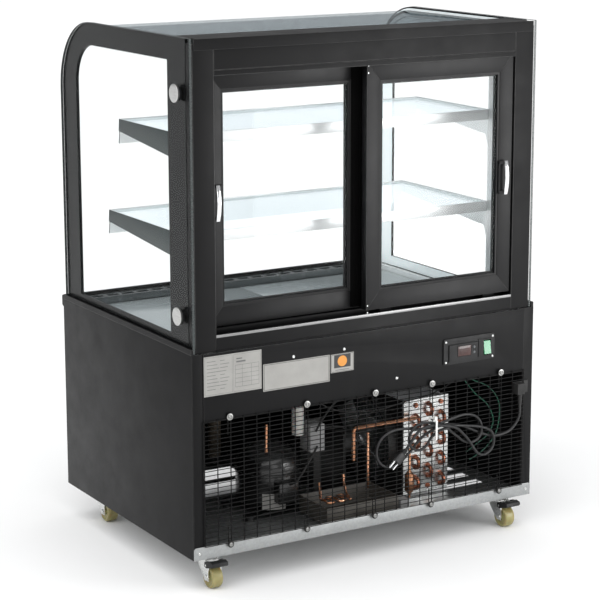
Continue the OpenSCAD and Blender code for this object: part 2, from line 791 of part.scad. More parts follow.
module shelf_frame(y0, z) {
    t = 2.5;
    rail_x = shelf_x - t - seam_gap;
    color(stainless) {
        both_sides() {
            along_x(shelf_x - t, shelf_x) bracket_outline(y0, z);
            // Ledge that carries the glass
            span([shelf_x - t - 14, y0 + 8 + seam_gap, z - 10],
                [shelf_x - t, shelf_rear_y - 14 - seam_gap, z - 8]);
            // Hook in the upright's slot
            span([shelf_x - t, shelf_rear_y, z - 21], [shelf_x, shelf_rear_y + 3.9, z - 9]);
        }
        // Label rail along the front, leaning out at the bottom
        along_x(-rail_x, rail_x) polygon([[y0, z], [y0 - 9, z - rail_drop],
            [y0 - 5, z - rail_drop], [y0 + 3, z - 11], [y0 + 8, z - 10], [y0 + 8, z - 8],
            [y0 + 3, z - 8], [y0 + 3, z]]);
        // Rounded rear rail
        along_x(-rail_x, rail_x) polygon([[shelf_rear_y - 14, z - 8], [shelf_rear_y - 14, z - 10],
            [shelf_rear_y - 4, z - 10], [shelf_rear_y - 4, z - 24], [shelf_rear_y - 1.5, z - 24],
            [shelf_rear_y, z - 14], [shelf_rear_y, z], [shelf_rear_y - 2.5, z],
            [shelf_rear_y - 2.5, z - 8]]);
    }
}

module shelf_frames() {
    for (s = shelves) shelf_frame(s[0], s[1]);
}

module shelf_glasses() {
    color(clear_glass) for (s = shelves)
        span([-shelf_x + 4, s[0] + 4, s[1] - 8], [shelf_x - 4, shelf_rear_y - 3.5, s[1] - 2]);
}

// Slotted uprights that the shelves hook into
module shelf_uprights() {
    upright_y = [shelf_rear_y + 1, 238];
    slot_x = shelf_x - 3;
    color(stainless) both_sides() difference() {
        span([404, upright_y[0], deck_z - 14], [424, upright_y[1], 1150]);
        span([406, upright_y[0] + 2, deck_z - 15], [425, upright_y[1] - 2, 1151]);
        for (z = [560:24:1120]) span([slot_x, upright_y[0] - 1, z], [slot_x + 3.6, upright_y[0] + 3, z + 16]);
    }
}

// ---------------------------------------------------------------- casters

caster_x = 397;
axle_z = wheel_d / 2;
pivot = [24, 54];
casters = [[1, 280], [-1, 280], [1, -246], [-1, -246]];
plate_z = 72.6;

module caster_plates() {
    color(zinc) for (c = casters) translate([c[0] * caster_x, c[1], 0]) {
        span([-29, -24, plate_z], [29, 24, base_z0]);
        rod_z([0, 0, 66.5], plate_z - 66.5, 34);
        rod_z([0, 0, 58], 8.5, 11);
        // Four bolts through the floor pan, outside the swivel
        for (dx = [-22, 22], dy = [-17, 17]) rod_z([dx, dy, plate_z - 3], 3, 9);
    }
}

// Fork with two cheeks and a fixed axle, on its swivel axis
module caster_fork(c) {
    cheek = 2.5;
    gap = wheel_w / 2 + 1.2;
    color(zinc) translate([c[0] * caster_x, c[1], 0]) {
        difference() {
            rod_z([0, 0, 61], 5.2, 40);
            rod_z([0, 0, 57], 12, 11.2);
        }
        both_sides() along_x(gap, gap + cheek) difference() {
            polygon([[-18, 61], [18, 61], [28, 58.5], [29.5, 50], [trail + 9, axle_z + 3],
                [trail + 9, axle_z - 7], [trail - 8, axle_z - 7], [-14, 46]]);
            translate([trail, axle_z]) circle(d = 7.9);
        }
        both_sides() span([gap, -16, 61], [gap + cheek, 16, 66.2]);
        span([-gap, -16, 61], [gap, -13, 66]);
        rod_x([-gap - cheek - 2, trail, axle_z], 2 * (gap + cheek + 2), 7.8);
        for (side = [-1, 1]) rod_x([side * (gap + cheek + 1.5) - 1.5, trail, axle_z], 3, 12);
        // Studs that the foot brake pivots on
        for (side = [-1, 1]) rod_x([side * (gap + cheek + 1.5) - 1.5, pivot[0], pivot[1]], 3, 4.9);
    }
}

module caster_wheel(c) {
    hw = wheel_w / 2;
    r = wheel_d / 2;
    color(amber) translate([c[0] * caster_x, c[1] + trail, axle_z]) rotate([0, 90, 0])
        rotate_extrude($fn = 64) polygon([[3.96, -hw - 0.6], [8, -hw - 0.6], [8, -hw + 2], [r - 8, -hw + 2],
            [r - 6, -hw], [r - 2.5, -hw], [r - 0.6, -hw + 2], [r, -hw + 5], [r, hw - 5],
            [r - 0.6, hw - 2], [r - 2.5, hw], [r - 6, hw], [r - 8, hw - 2], [8, hw - 2],
            [8, hw + 0.6], [3.96, hw + 0.6]]);
}

module caster_fork_rear_left() { caster_fork(casters[0]); }
module caster_fork_rear_right() { caster_fork(casters[1]); }
module caster_fork_front_left() { caster_fork(casters[2]); }
module caster_fork_front_right() { caster_fork(casters[3]); }
module caster_wheel_rear_left() { caster_wheel(casters[0]); }
module caster_wheel_rear_right() { caster_wheel(casters[1]); }
module caster_wheel_front_left() { caster_wheel(casters[2]); }
module caster_wheel_front_right() { caster_wheel(casters[3]); }

// A foot brake over the wheel, pivoted on the fork above the axle
module brake_pedal(c) {
    inner = wheel_w / 2 + 3.8;
    outer = inner + 2.8;
    color(black_plastic) translate([c[0] * caster_x, c[1], 0]) {
        along_x(-outer, outer) polygon([[31, 63.5], [31, 60.5], [36, 57.5], [46, 57], [54, 56],
            [58, 60], [56, 66], [44, 68]]);
        both_sides() along_x(inner, outer) difference() {
            polygon([[18, 60], [18, 50], [28, 48.5], [48, 55], [54, 56], [58, 60], [56, 66], [30, 65]]);
            translate(pivot) circle(d = 5);
        }
    }
}

module brake_pedal_left() { brake_pedal(casters[0]); }
module brake_pedal_right() { brake_pedal(casters[1]); }

// ---------------------------------------------------------------- power lead

// The lead leaves a clip at the right of the guard, and is tied up in loops
lead_points = [[-409, 337, 306], [-409, 336.5, 283], [-399.5, 334.5, 261.5], [-381.5, 334.5, 247.5],
    [-358, 334, 242], [-335.5, 334, 242.5], [-314, 334.5, 248.5], [-292, 334, 257.5],
    [-271, 334, 268], [-250, 334, 278], [-227.5, 335.5, 285.5], [-204.5, 334, 289.5],
    [-179.5, 334, 288.5], [-158.5, 334, 288.5], [-133, 334, 289], [-112.5, 334, 292],
    [-89, 334, 296], [-65, 334, 297.5], [-42, 334, 293.5], [-22.5, 334, 282], [-10.5, 334, 262.5],
    [-11, 334, 239.5], [-24, 334, 220.5], [-45.5, 334.5, 212], [-68, 334, 216], [-87.5, 334, 229],
    [-106.5, 334, 244.5], [-121.5, 334.5, 260.5], [-140, 337, 275], [-160.5, 342.5, 286],
    [-180, 338.5, 295.5], [-202.5, 339.5, 301], [-225.5, 340.5, 306], [-248.5, 340.5, 308],
    [-271.5, 340, 303], [-290, 339, 289.5], [-297, 340.5, 267.5], [-288, 342, 247],
    [-266.5, 341.5, 238.5], [-245, 340.5, 245.5], [-226, 340.5, 260], [-209, 341.5, 274],
    [-190, 342.5, 288.5], [-170.5, 348, 298], [-147.5, 344, 304], [-124.5, 343.5, 305.5],
    [-104.5, 342.5, 296.5], [-92.5, 342, 276], [-97.5, 342, 254], [-117, 342, 242.5],
    [-138.5, 342, 248.5], [-152.5, 343, 267], [-168.5, 348.5, 281.5], [-191.5, 351, 286.5],
    [-216, 344.5, 287], [-236, 344, 284], [-259.5, 344, 280], [-282.5, 345.5, 275.5],
    [-304, 348, 268.5], [-323, 344.5, 256], [-332, 342, 234], [-324.5, 342, 213.5],
    [-304, 343.5, 204], [-282.5, 347, 211], [-268, 348.5, 228], [-253.5, 350, 248], [-238, 350, 265],
    [-221.5, 351.5, 280], [-200.5, 356.5, 290.5], [-177.5, 356.5, 295.5], [-156.5, 353.5, 299.5],
    [-131, 351, 297], [-110.5, 350.5, 288], [-94.5, 351, 271], [-80, 350, 253]];
lead_sides = 8;
rings_per_span = 1;

// A point on the smooth curve through the lead's points
function spline(p, i, t) =
    let (n = len(p), a = p[max(i - 1, 0)], b = p[i], c = p[min(i + 1, n - 1)], d = p[min(i + 2, n - 1)])
    0.5 * (2 * b + (c - a) * t + (2 * a - 5 * b + 4 * c - d) * t * t
        + (3 * b - a - 3 * c + d) * t * t * t);

function lead_line(p, per) = concat([for (i = [0:len(p) - 2], k = [0:per - 1]) spline(p, i, k / per)],
    [p[len(p) - 1]]);

function unit(v) = v / norm(v);

module tube(line, d, sides) {
    n = len(line);
    rings = [for (i = [0:n - 1])
        let (t = unit(line[min(i + 1, n - 1)] - line[max(i - 1, 0)]),
            u = unit(cross(t, [0, 1, 0])), v = cross(u, t))
        for (k = [0:sides - 1])
            line[i] + d / 2 * (cos(360 * k / sides) * u + sin(360 * k / sides) * v)];
    walls = [for (i = [0:n - 2], k = [0:sides - 1])
        let (a = i * sides + k, b = i * sides + (k + 1) % sides)
        [a, b, b + sides, a + sides]];
    polyhedron(rings, concat(walls, [[for (k = [sides - 1:-1:0]) k],
        [for (k = [0:sides - 1]) (n - 1) * sides + k]]), convexity = 10);
}

module power_cord() {
    color(black_plastic) tube(lead_line(lead_points, rings_per_span), cord_d, lead_sides);
}

// Moulded plug with two blades and an earth pin, pointing down to the left
module mains_plug() {
    translate(lead_points[len(lead_points) - 1]) rotate([0, 42, 0]) {
        color(black_plastic) {
            rotate([0, 90, 0]) cylinder(d1 = cord_d + 1.5, d2 = 12, h = 14);
            translate([14, 0, 0]) rotate([90, 0, 90]) linear_extrude(25)
                offset(r = 4) square([10, 14], center = true);
        }
        color(chrome) {
            for (z = [-6.3, 6.3]) span([39, -3.2, z - 0.75], [56, 3.2, z + 0.75]);
            translate([39, -5.5, 0]) rotate([0, 90, 0]) cylinder(d = 4.7, h = 19);
        }
    }
}

// Cable tie round the bundle: a rounded-off loop and its head
tie_x = -157;
module cord_tie() {
    color([0.85, 0.85, 0.83]) along_x(tie_x - 2.4, tie_x + 2.4) difference() {
        translate([328.9, 262]) square([29.9, 51]);
        translate([329.9, 263.2]) square([27.7, 48.6]);
    }
    color([0.85, 0.85, 0.83]) span([tie_x - 3.6, 350, 313], [tie_x + 3.6, 356, 319]);
}

// Clip on the flange, with a tapered sleeve that points down
clip_x = -409;
module strain_relief() {
    color(black_plastic) {
        span([-442, rear_y - sheet, gland_z[0] - 2], [-397.6, rear_y - 0.4, gland_z[1] + 1]);
        span([clip_x - 10.5, rear_y - 0.4, gland_z[0]], [clip_x + 10.5, rear_y + 19, gland_z[1]]);
        translate([clip_x, 337, 306]) cylinder(d1 = cord_d + 1.6, d2 = 11.6, h = gland_z[0] - 306);
    }
}

// ---------------------------------------------------------------- nodes

floor_pan();
side_panel_left();
side_panel_right();
front_panel();
base_bead();
service_panel();
panel_screws();
label_plates();
mesh_guard();
guard_screws();
control_bezel();
thermostat_body();
display_window();
rocker_switch();
key_up();
key_down();
insulated_tub();
deck_panels();
air_duct();
evaporator_coil();
evaporator_fan();
compressor();
condenser_coil();
fan_shroud();
condenser_fan();
refrigerant_lines();
electrical_box();
condensate_pan();
rear_frame();
rear_sill();
top_cap();
light_bar();
front_glass();
side_glasses();
side_edgings();
glass_standoffs();
door_left_frame();
door_left_glass();
door_left_handle();
door_right_frame();
door_right_glass();
door_right_handle();
shelf_frames();
shelf_glasses();
shelf_uprights();
caster_plates();
caster_fork_rear_left();
caster_fork_rear_right();
caster_fork_front_left();
caster_fork_front_right();
caster_wheel_rear_left();
caster_wheel_rear_right();
caster_wheel_front_left();
caster_wheel_front_right();
brake_pedal_left();
brake_pedal_right();
power_cord();
mains_plug();
cord_tie();
strain_relief();
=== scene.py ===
import json
import math

import bmesh
import bpy
from mathutils import Matrix, Vector


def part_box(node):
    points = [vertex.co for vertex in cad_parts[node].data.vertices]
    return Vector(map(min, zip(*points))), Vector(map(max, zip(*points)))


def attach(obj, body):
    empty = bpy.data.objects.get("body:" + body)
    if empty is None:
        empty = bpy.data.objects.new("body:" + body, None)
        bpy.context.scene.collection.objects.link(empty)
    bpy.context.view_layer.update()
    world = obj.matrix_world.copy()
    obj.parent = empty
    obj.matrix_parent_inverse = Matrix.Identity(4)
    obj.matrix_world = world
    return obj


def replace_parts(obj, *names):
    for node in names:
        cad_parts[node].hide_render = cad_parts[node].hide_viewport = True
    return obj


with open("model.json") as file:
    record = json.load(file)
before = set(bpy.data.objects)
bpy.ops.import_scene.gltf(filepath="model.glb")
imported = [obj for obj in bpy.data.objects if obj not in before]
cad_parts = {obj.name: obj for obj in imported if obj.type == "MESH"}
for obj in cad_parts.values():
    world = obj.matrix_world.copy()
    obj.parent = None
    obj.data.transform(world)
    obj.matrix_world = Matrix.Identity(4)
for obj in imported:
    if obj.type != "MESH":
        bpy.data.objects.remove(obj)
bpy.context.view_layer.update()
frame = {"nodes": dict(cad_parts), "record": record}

NODES = frame["nodes"]
MM = 0.001


def body_of(node):
    for name, members in frame["record"]["behaviour"]["bodies"].items():
        if node in members:
            return name
    raise KeyError(node)


# ---- camera

def make_camera():
    """A camera at the photograph's angle: behind the case, to its left, looking a little down."""
    yaw, pitch, roll = math.radians(30.926), math.radians(11.767), math.radians(-0.10)
    look = Vector((-math.sin(yaw) * math.cos(pitch), -math.cos(yaw) * math.cos(pitch), -math.sin(pitch)))
    right = look.cross(Vector((0, 0, 1))).normalized()
    up = right.cross(look)
    r = right * math.cos(roll) + up * math.sin(roll)
    u = up * math.cos(roll) - right * math.sin(roll)
    data = bpy.data.cameras.new("camera")
    data.sensor_width = 36.0
    data.lens = 120.0
    data.shift_y = -0.05
    data.clip_start, data.clip_end = 0.05, 60.0
    cam = bpy.data.objects.new("camera", data)
    cam.matrix_world = Matrix(((r.x, u.x, -look.x, 2.3736), (r.y, u.y, -look.y, 3.9754),
                               (r.z, u.z, -look.z, 1.5804), (0, 0, 0, 1)))
    bpy.context.scene.collection.objects.link(cam)
    bpy.context.scene.camera = cam


make_camera()


# ---- materials

class Surface:
    """A node material round one Principled shader, textured in the row frame."""

    def __init__(self, name, **fixed):
        self.mat = bpy.data.materials.new(name)
        self.mat.use_nodes = True
        self.tree = self.mat.node_tree
        self.tree.nodes.clear()
        self.out = self.tree.nodes.new("ShaderNodeOutputMaterial")
        self.bsdf = self.tree.nodes.new("ShaderNodeBsdfPrincipled")
        self.wire(self.bsdf.outputs["BSDF"], self.out.inputs["Surface"])
        self.coord = self.tree.nodes.new("ShaderNodeTexCoord").outputs["Object"]
        for key, value in fixed.items():
            self.bsdf.inputs[key.replace("_", " ")].default_value = value

    def wire(self, source, target):
        self.tree.links.new(source, target)

    def put(self, socket, value):
        if isinstance(value, bpy.types.NodeSocket):
            self.wire(value, socket)
        elif isinstance(value, (tuple, list)):
            colour = len(value) == 3 and len(socket.default_value) == 4
            socket.default_value = (*value, 1.0) if colour else value
        else:
            socket.default_value = value

    def node(self, kind, **values):
        n = self.tree.nodes.new("ShaderNode" + kind)
        for key, value in values.items():
            self.put(n.inputs[key.replace("_", " ")], value)
        return n

    def noise(self, scale, detail=3.0, rough=0.55, stretch=None):
        where = self.node("Mapping", Vector=self.coord, Scale=stretch).outputs[0] if stretch else self.coord
        return self.node("TexNoise", Vector=where, Scale=scale, Detail=detail, Roughness=rough).outputs[0]

    def span(self, value, lo, hi, out_lo=0.0, out_hi=1.0):
        return self.node("MapRange", Value=value, From_Min=lo, From_Max=hi, To_Min=out_lo,
                         To_Max=out_hi).outputs["Result"]

    def math(self, operation, a, b=0.0):
        n = self.node("Math")
        n.operation = operation
        self.put(n.inputs[0], a)
        self.put(n.inputs[1], b)
        return n.outputs[0]

    def mix(self, factor, a, b):
        n = self.node("Mix")
        n.data_type = "RGBA"
        for index, value in ((0, factor), (6, a), (7, b)):
            self.put(n.inputs[index], value)
        return n.outputs[2]

    def colour(self, value):
        self.put(self.bsdf.inputs["Base Color"], value)
        return self

    def roughness(self, value):
        self.put(self.bsdf.inputs["Roughness"], value)
        return self

    def bump(self, height, strength=0.3, distance=0.0005):
        n = self.node("Bump", Height=height, Strength=strength, Distance=distance)
        self.wire(n.outputs["Normal"], self.bsdf.inputs["Normal"])
        return self


def painted(name, dark, light, rough=(0.34, 0.48), grain=900.0, spec=0.17):
    """Powder-coated sheet: fine orange peel, slow mottling, faint rubbed streaks."""
    s = Surface(name, Specular_IOR_Level=spec)
    slow = s.noise(3.2, 4.0)
    rub = s.span(s.noise(26.0, 5.0, 0.7, (1.0, 1.0, 0.12)), 0.56, 0.78)
    base = s.mix(s.span(slow, 0.3, 0.7), dark, light)
    s.colour(s.mix(s.math("MULTIPLY", rub, 0.25), base, tuple(min(1.0, c * 1.8 + 0.004) for c in light)))
    s.roughness(s.span(s.noise(14.0, 5.0, 0.65), 0.25, 0.75, *rough))
    s.bump(s.noise(grain, 2.0, 0.5), 0.16, 0.00035)
    return s.mat


def worn_edge(name, dark, bare, metallic=0.0):
    """A folded edge: mostly paint, rubbed thin in patches."""
    s = Surface(name, Metallic=metallic)
    patch = s.span(s.noise(60.0, 5.0, 0.7), 0.46, 0.68)
    s.colour(s.mix(patch, dark, bare))
    s.roughness(s.span(s.noise(90.0), 0.3, 0.7, 0.28, 0.42))
    return s.bump(s.noise(1200.0), 0.1, 0.0003).mat


def moulded(name, dark, light, rough=(0.4, 0.55), grain=1600.0, strength=0.2, **fixed):
    """Moulded plastic or rubber: fine spark texture and slight colour drift."""
    s = Surface(name, **fixed)
    s.colour(s.mix(s.span(s.noise(22.0, 4.0), 0.3, 0.7), dark, light))
    s.roughness(s.span(s.noise(45.0, 3.0), 0.3, 0.7, *rough))
    return s.bump(s.noise(grain, 2.0), strength, 0.0003).mat


def brushed(name, dark, light, rough=(0.22, 0.38), along=(0.02, 1.0, 1.0), aniso=0.45, scale=900.0,
            metallic=1.0):
    """Brushed metal: fine streaks along one axis, faint smears across them."""
    s = Surface(name, Metallic=metallic, Anisotropic=aniso)
    streak = s.noise(scale, 3.0, 0.6, along)
    smear = s.noise(5.0, 4.0, 0.6)
    both = s.math("ADD", s.math("MULTIPLY", streak, 0.65), s.math("MULTIPLY", smear, 0.35))
    s.colour(s.mix(s.span(both, 0.35, 0.65), dark, light))
    s.roughness(s.span(both, 0.35, 0.65, *rough))
    return s.bump(streak, 0.06, 0.0002).mat


def galvanised(name, dark, light):
    """Zinc with its spangle: flat crystals of slightly different brightness."""
    s = Surface(name, Metallic=0.85)
    crystals = s.node("TexVoronoi", Vector=s.coord, Scale=260.0).outputs["Color"]
    cell = s.node("RGBToBW", Color=crystals).outputs[0]
    cloud = s.noise(9.0, 5.0, 0.6)
    value = s.math("ADD", s.math("MULTIPLY", cell, 0.55), s.math("MULTIPLY", cloud, 0.45))
    s.colour(s.mix(s.span(value, 0.25, 0.75), dark, light))
    s.roughness(s.span(cell, 0.1, 0.9, 0.36, 0.52))
    return s.bump(s.noise(260.0, 4.0), 0.12, 0.0004).mat


def plated(name, colour, rough=(0.08, 0.2), metallic=1.0):
    """Bright plating with a few dull spots."""
    s = Surface(name, Metallic=metallic)
    spot = s.span(s.noise(180.0, 4.0, 0.7), 0.5, 0.75)
    s.colour(s.mix(spot, colour, tuple(c * 0.72 for c in colour)))
    s.roughness(s.span(s.noise(70.0, 3.0), 0.3, 0.7, *rough))
    return s.bump(s.noise(500.0), 0.05, 0.0002).mat


def copper_tube(name, bright, stained):
    """Copper with brown oxide clouds and brighter rubbed places."""
    s = Surface(name, Metallic=1.0)
    cloud = s.noise(38.0, 5.0, 0.65)
    base = s.mix(s.span(cloud, 0.38, 0.66), bright, stained)
    s.colour(s.mix(s.span(s.noise(240.0, 3.0), 0.62, 0.8), base, (0.90, 0.56, 0.38)))
    s.roughness(s.span(cloud, 0.3, 0.7, 0.2, 0.42))
    return s.bump(s.noise(700.0), 0.08, 0.0002).mat


def clear_pane(name, tint, gloss=0.003, own=(0.90, 0.95, 0.95), low=0.09, power=5.0, **fixed):
    """A clear pane with faint wiping marks. It is see-through, but for a share in its own colour.

    The share is gloss when seen square on, and grows by low towards the flattest angles."""
    s = Surface(name, **{"Metallic": 1.0, **fixed})
    smear = s.noise(7.0, 5.0, 0.7, (1.0, 1.0, 0.5))
    s.colour(s.mix(s.span(smear, 0.3, 0.7), own, tuple(c * 0.94 for c in own)))
    s.roughness(s.span(smear, 0.35, 0.75, 0.01, 0.04))
    clear = s.node("BsdfTransparent", Color=tint)
    facing = s.node("LayerWeight", Blend=0.5).outputs["Facing"]
    share = s.math("ADD", s.math("MULTIPLY", s.math("POWER", facing, power), low), gloss)
    blend = s.node("MixShader")
    s.wire(share, blend.inputs[0])
    s.wire(clear.outputs[0], blend.inputs[1])
    s.wire(s.bsdf.outputs[0], blend.inputs[2])
    s.wire(blend.outputs[0], s.out.inputs["Surface"])
    return s.mat


def pane_edge(name, colour, alpha=0.9):
    """The ground edge of a pane, where the glass looks blue-green."""
    s = Surface(name, Alpha=alpha, Specular_IOR_Level=0.6)
    s.colour(s.mix(s.span(s.noise(120.0, 3.0), 0.3, 0.7), colour, tuple(min(1.0, c * 1.35) for c in colour)))
    s.roughness(s.span(s.noise(300.0), 0.3, 0.7, 0.15, 0.35))
    return s.bump(s.noise(1500.0), 0.1, 0.0002).mat


BLACK = painted("black_powder_coat", (0.0038, 0.0038, 0.0041), (0.0066, 0.0066, 0.007), spec=0.13)
BLACK_EDGE = worn_edge("black_edge", (0.010, 0.010, 0.010), (0.032, 0.031, 0.030))
DOOR_BLACK = painted("door_frame_black", (0.0045, 0.0045, 0.005), (0.0075, 0.0075, 0.008), (0.28, 0.4),
                     1300.0, 0.18)
SHELL = painted("compressor_shell", (0.005, 0.005, 0.005), (0.009, 0.009, 0.009), (0.16, 0.26), 700.0, 0.7)
DARK_INSIDE = painted("machine_black", (0.006, 0.006, 0.006), (0.014, 0.013, 0.012), (0.3, 0.5), 500.0, 0.3)
GUARD_BLACK = painted("guard_wire_coat", (0.003, 0.003, 0.003), (0.006, 0.006, 0.006), (0.3, 0.45),
                      1500.0, 0.15)
# A real black brush seal, made near-black so that it also paints the shade between the doors.
SEAL_BLACK_SHADE = painted("brush_seal_black_and_painted_shade", (0.001, 0.001, 0.001), (0.003, 0.003, 0.003), (0.7, 0.85), 900.0,
                     0.05)
EDGING = painted("pane_edging", (0.003, 0.0032, 0.0034), (0.0045, 0.0048, 0.005), (0.2, 0.28), 300.0, 0.12)
# Painted light: the inner faces of the black edging take a near-white colour and a glow, standing in for the
# light they catch.
EDGING_INNER_GLOW = moulded("pane_edging_inner_painted_glow", (0.84, 0.90, 0.91), (0.90, 0.95, 0.96), (0.3, 0.4), 300.0, 0.1,
                      Emission_Color=(0.92, 0.98, 1.0, 1.0), Emission_Strength=0.14)
DUCT = painted("dark_duct", (0.05, 0.056, 0.058), (0.075, 0.083, 0.086), (0.2, 0.32), 700.0, 0.4)
PLASTIC = moulded("black_plastic", (0.005, 0.005, 0.0055), (0.010, 0.010, 0.0105), Specular_IOR_Level=0.3)
RUBBER = moulded("black_rubber", (0.006, 0.006, 0.006), (0.013, 0.0125, 0.012), (0.55, 0.75), 900.0, 0.35)
SHEATH = moulded("lead_sheath", (0.006, 0.006, 0.0065), (0.012, 0.012, 0.0125), (0.3, 0.45), 1100.0, 0.2,
                 Specular_IOR_Level=0.4)
ZINC = galvanised("galvanised_sheet", (0.30, 0.31, 0.31), (0.38, 0.39, 0.39))
ZINC_EDGE = worn_edge("zinc_edge", (0.36, 0.37, 0.37), (0.55, 0.56, 0.56), 0.8)
STEEL = brushed("brushed_stainless", (0.76, 0.78, 0.78), (0.86, 0.87, 0.87), (0.28, 0.38), metallic=0.3)
# Painted shade: a dark copy of the shelf stainless for the outward faces of the shelf brackets.
STEEL_SHADED = brushed("stainless_painted_shade", (0.050, 0.060, 0.060), (0.068, 0.080, 0.080), (0.3, 0.42))
STEEL_Y = brushed("brushed_stainless_across", (0.62, 0.63, 0.63), (0.72, 0.73, 0.73), (0.26, 0.36),
                  (1.0, 0.02, 1.0), metallic=0.6)
STEEL_EDGE = worn_edge("stainless_edge", (0.40, 0.41, 0.41), (0.68, 0.69, 0.69), 1.0)
TRIM = brushed("dull_trim", (0.20, 0.20, 0.20), (0.30, 0.30, 0.30), (0.26, 0.38))
DECK = brushed("deck_stainless", (0.66, 0.72, 0.735), (0.72, 0.78, 0.795), (0.10, 0.18),
               (0.05, 1.0, 1.0), 0.2, 500.0, 0.5)
SATIN = brushed("satin_disc", (0.42, 0.42, 0.41), (0.58, 0.58, 0.57), (0.26, 0.4), (1.0, 0.05, 1.0),
                0.2, 700.0)
CHROME = plated("bright_plate", (0.86, 0.87, 0.88))
ZINC_PLATE = plated("zinc_plate", (0.72, 0.73, 0.72), (0.2, 0.36))
SCREW_PLATE = plated("screw_plate", (0.34, 0.34, 0.33), (0.24, 0.4))
COPPER = copper_tube("copper_tube", (0.86, 0.45, 0.27), (0.42, 0.19, 0.10))
COPPER_DARK = copper_tube("copper_heat_stained", (0.62, 0.25, 0.15), (0.16, 0.055, 0.035))
FIN = brushed("fin_stock", (0.50, 0.51, 0.52), (0.76, 0.77, 0.78), (0.3, 0.5), (1.0, 1.0, 0.05), 0.2, 500.0)
FOAM = moulded("foam_sleeve", (0.030, 0.023, 0.015), (0.065, 0.050, 0.034), (0.6, 0.8), 420.0, 0.5)
LINER = moulded("well_liner", (0.62, 0.64, 0.64), (0.74, 0.76, 0.76), (0.3, 0.45))
AMBER = moulded("amber_nylon", (0.22, 0.19, 0.065), (0.33, 0.30, 0.13), (0.28, 0.45), 700.0, 0.2,
                Subsurface_Weight=0.15)
TYRE = moulded("worn_tread", (0.20, 0.165, 0.06), (0.33, 0.28, 0.11), (0.5, 0.7), 500.0, 0.4)
LABEL = moulded("label_white", (0.29, 0.285, 0.27), (0.34, 0.335, 0.318), (0.35, 0.5), 900.0, 0.08,
                Specular_IOR_Level=0.25)
LABEL_LINE = moulded("label_line", (0.012, 0.012, 0.012), (0.02, 0.02, 0.02))
LABEL_GREY = moulded("label_grey", (0.10, 0.10, 0.10), (0.15, 0.15, 0.15))
ORANGE = moulded("plain_orange", (0.58, 0.22, 0.02), (0.66, 0.27, 0.035), (0.3, 0.42))
WHITE = moulded("white_nylon", (0.66, 0.66, 0.64), (0.80, 0.80, 0.78), (0.35, 0.5))
GREY = moulded("grey_plastic", (0.20, 0.20, 0.20), (0.30, 0.30, 0.30), (0.4, 0.6), 900.0, 0.3)
TRAY = moulded("tray_grey", (0.055, 0.050, 0.042), (0.095, 0.086, 0.074), (0.4, 0.6), 300.0, 0.3)
HOSE = moulded("milky_hose", (0.42, 0.42, 0.39), (0.55, 0.55, 0.52), (0.25, 0.4), 600.0, 0.2,
               Subsurface_Weight=0.2)
KEY = moulded("key_grey", (0.07, 0.075, 0.08), (0.11, 0.115, 0.12))
GREEN = moulded("switch_green", (0.004, 0.17, 0.06), (0.008, 0.30, 0.11), (0.12, 0.22), 900.0, 0.05,
                Coat_Weight=0.6)
EARTH = moulded("green_wire", (0.005, 0.05, 0.03), (0.01, 0.11, 0.06), (0.3, 0.45), 900.0, 0.1)
WINDOW = moulded("display_window", (0.035, 0.012, 0.010), (0.06, 0.02, 0.016), (0.06, 0.12), 900.0, 0.02)
PANE = clear_pane("clear_glass", (0.992, 0.997, 0.997))
# Painted shade: the flat top of the bent front pane is tinted darker and greyer than the front and bend of
# the same glass.
TOP_PANE_SHADED = clear_pane("top_glass_painted_shade", (0.57, 0.61, 0.63), 0.03, (0.46, 0.52, 0.55), 0.4)
DOOR_PANE = clear_pane("door_glass", (0.993, 0.997, 0.998), 0.006)
# Painted reflection: the shelf glass takes a near-white colour and a glow, strongest towards flat angles,
# standing in for the bright studio it reflects.
SHELF_PANE_GLOW = clear_pane("shelf_glass", (0.972, 0.984, 0.986), 0.02, (0.86, 0.92, 0.94), 0.85, 4.0,
                        Metallic=0.0, Emission_Color=(0.90, 0.96, 1.0, 1.0), Emission_Strength=0.62)
PANE_EDGE = pane_edge("glass_edge", (0.012, 0.019, 0.019), 0.98)
SHELF_EDGE = pane_edge("shelf_glass_edge", (0.16, 0.24, 0.24))


# ---- mesh helpers

def emit(name, bm, body, materials, smooth=32.0):
    """Turn a bmesh in the row frame into a piece that rides on a body."""
    if not isinstance(materials, (list, tuple)):
        materials = [materials]
    bmesh.ops.recalc_face_normals(bm, faces=bm.faces)
    mesh = bpy.data.meshes.new(name)
    bm.to_mesh(mesh)
    bm.free()
    for m in materials:
        mesh.materials.append(m)
    mesh.shade_smooth()
    mesh.set_sharp_from_angle(angle=math.radians(smooth))
    obj = bpy.data.objects.new(name, mesh)
    bpy.context.scene.collection.objects.link(obj)
    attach(obj, body)
    return obj


def bevel_sharp(bm, width, angle=28.0, segments=2, material=1):
    edges = [e for e in bm.edges if e.is_manifold and e.calc_face_angle(0.0) > math.radians(angle)]
    if edges:
        bmesh.ops.bevel(bm, geom=edges, offset=width, offset_type="OFFSET", segments=segments, profile=0.6,
                        affect="EDGES", clamp_overlap=True, material=material)


def add_box(bm, lo, hi):
    lo, hi = Vector(lo), Vector(hi)
    made = bmesh.ops.create_cube(bm, size=1.0)["verts"]
    for v in made:
        v.co = Vector([(lo[i] + hi[i]) / 2 + v.co[i] * (hi[i] - lo[i]) for i in range(3)])
    return made


def skin(bm, loops):
    """Faces between each loop of vertices and the next."""
    n = len(loops[0])
    for a, b in zip(loops, loops[1:]):
        for k in range(n):
            j = (k + 1) % n
            bm.faces.new((a[k], a[j], b[j], b[k]))


def capped_skin(bm, loops):
    skin(bm, loops)
    bm.faces.new(loops[0])
    bm.faces.new(loops[-1])


def flat_loop(bm, outline, axis, at):
    """The vertices of a flat outline, given in the two other axes in X, Y, Z order."""
    return [bm.verts.new((*p[:axis], at, *p[axis:])) for p in outline]


def add_prism(bm, outline, axis, start, end):
    """Push a flat outline along an axis."""
    low, high = (flat_loop(bm, outline, axis, at) for at in (start, end))
    bm.faces.new(low)
    bm.faces.new(high)
    skin(bm, [low, high])


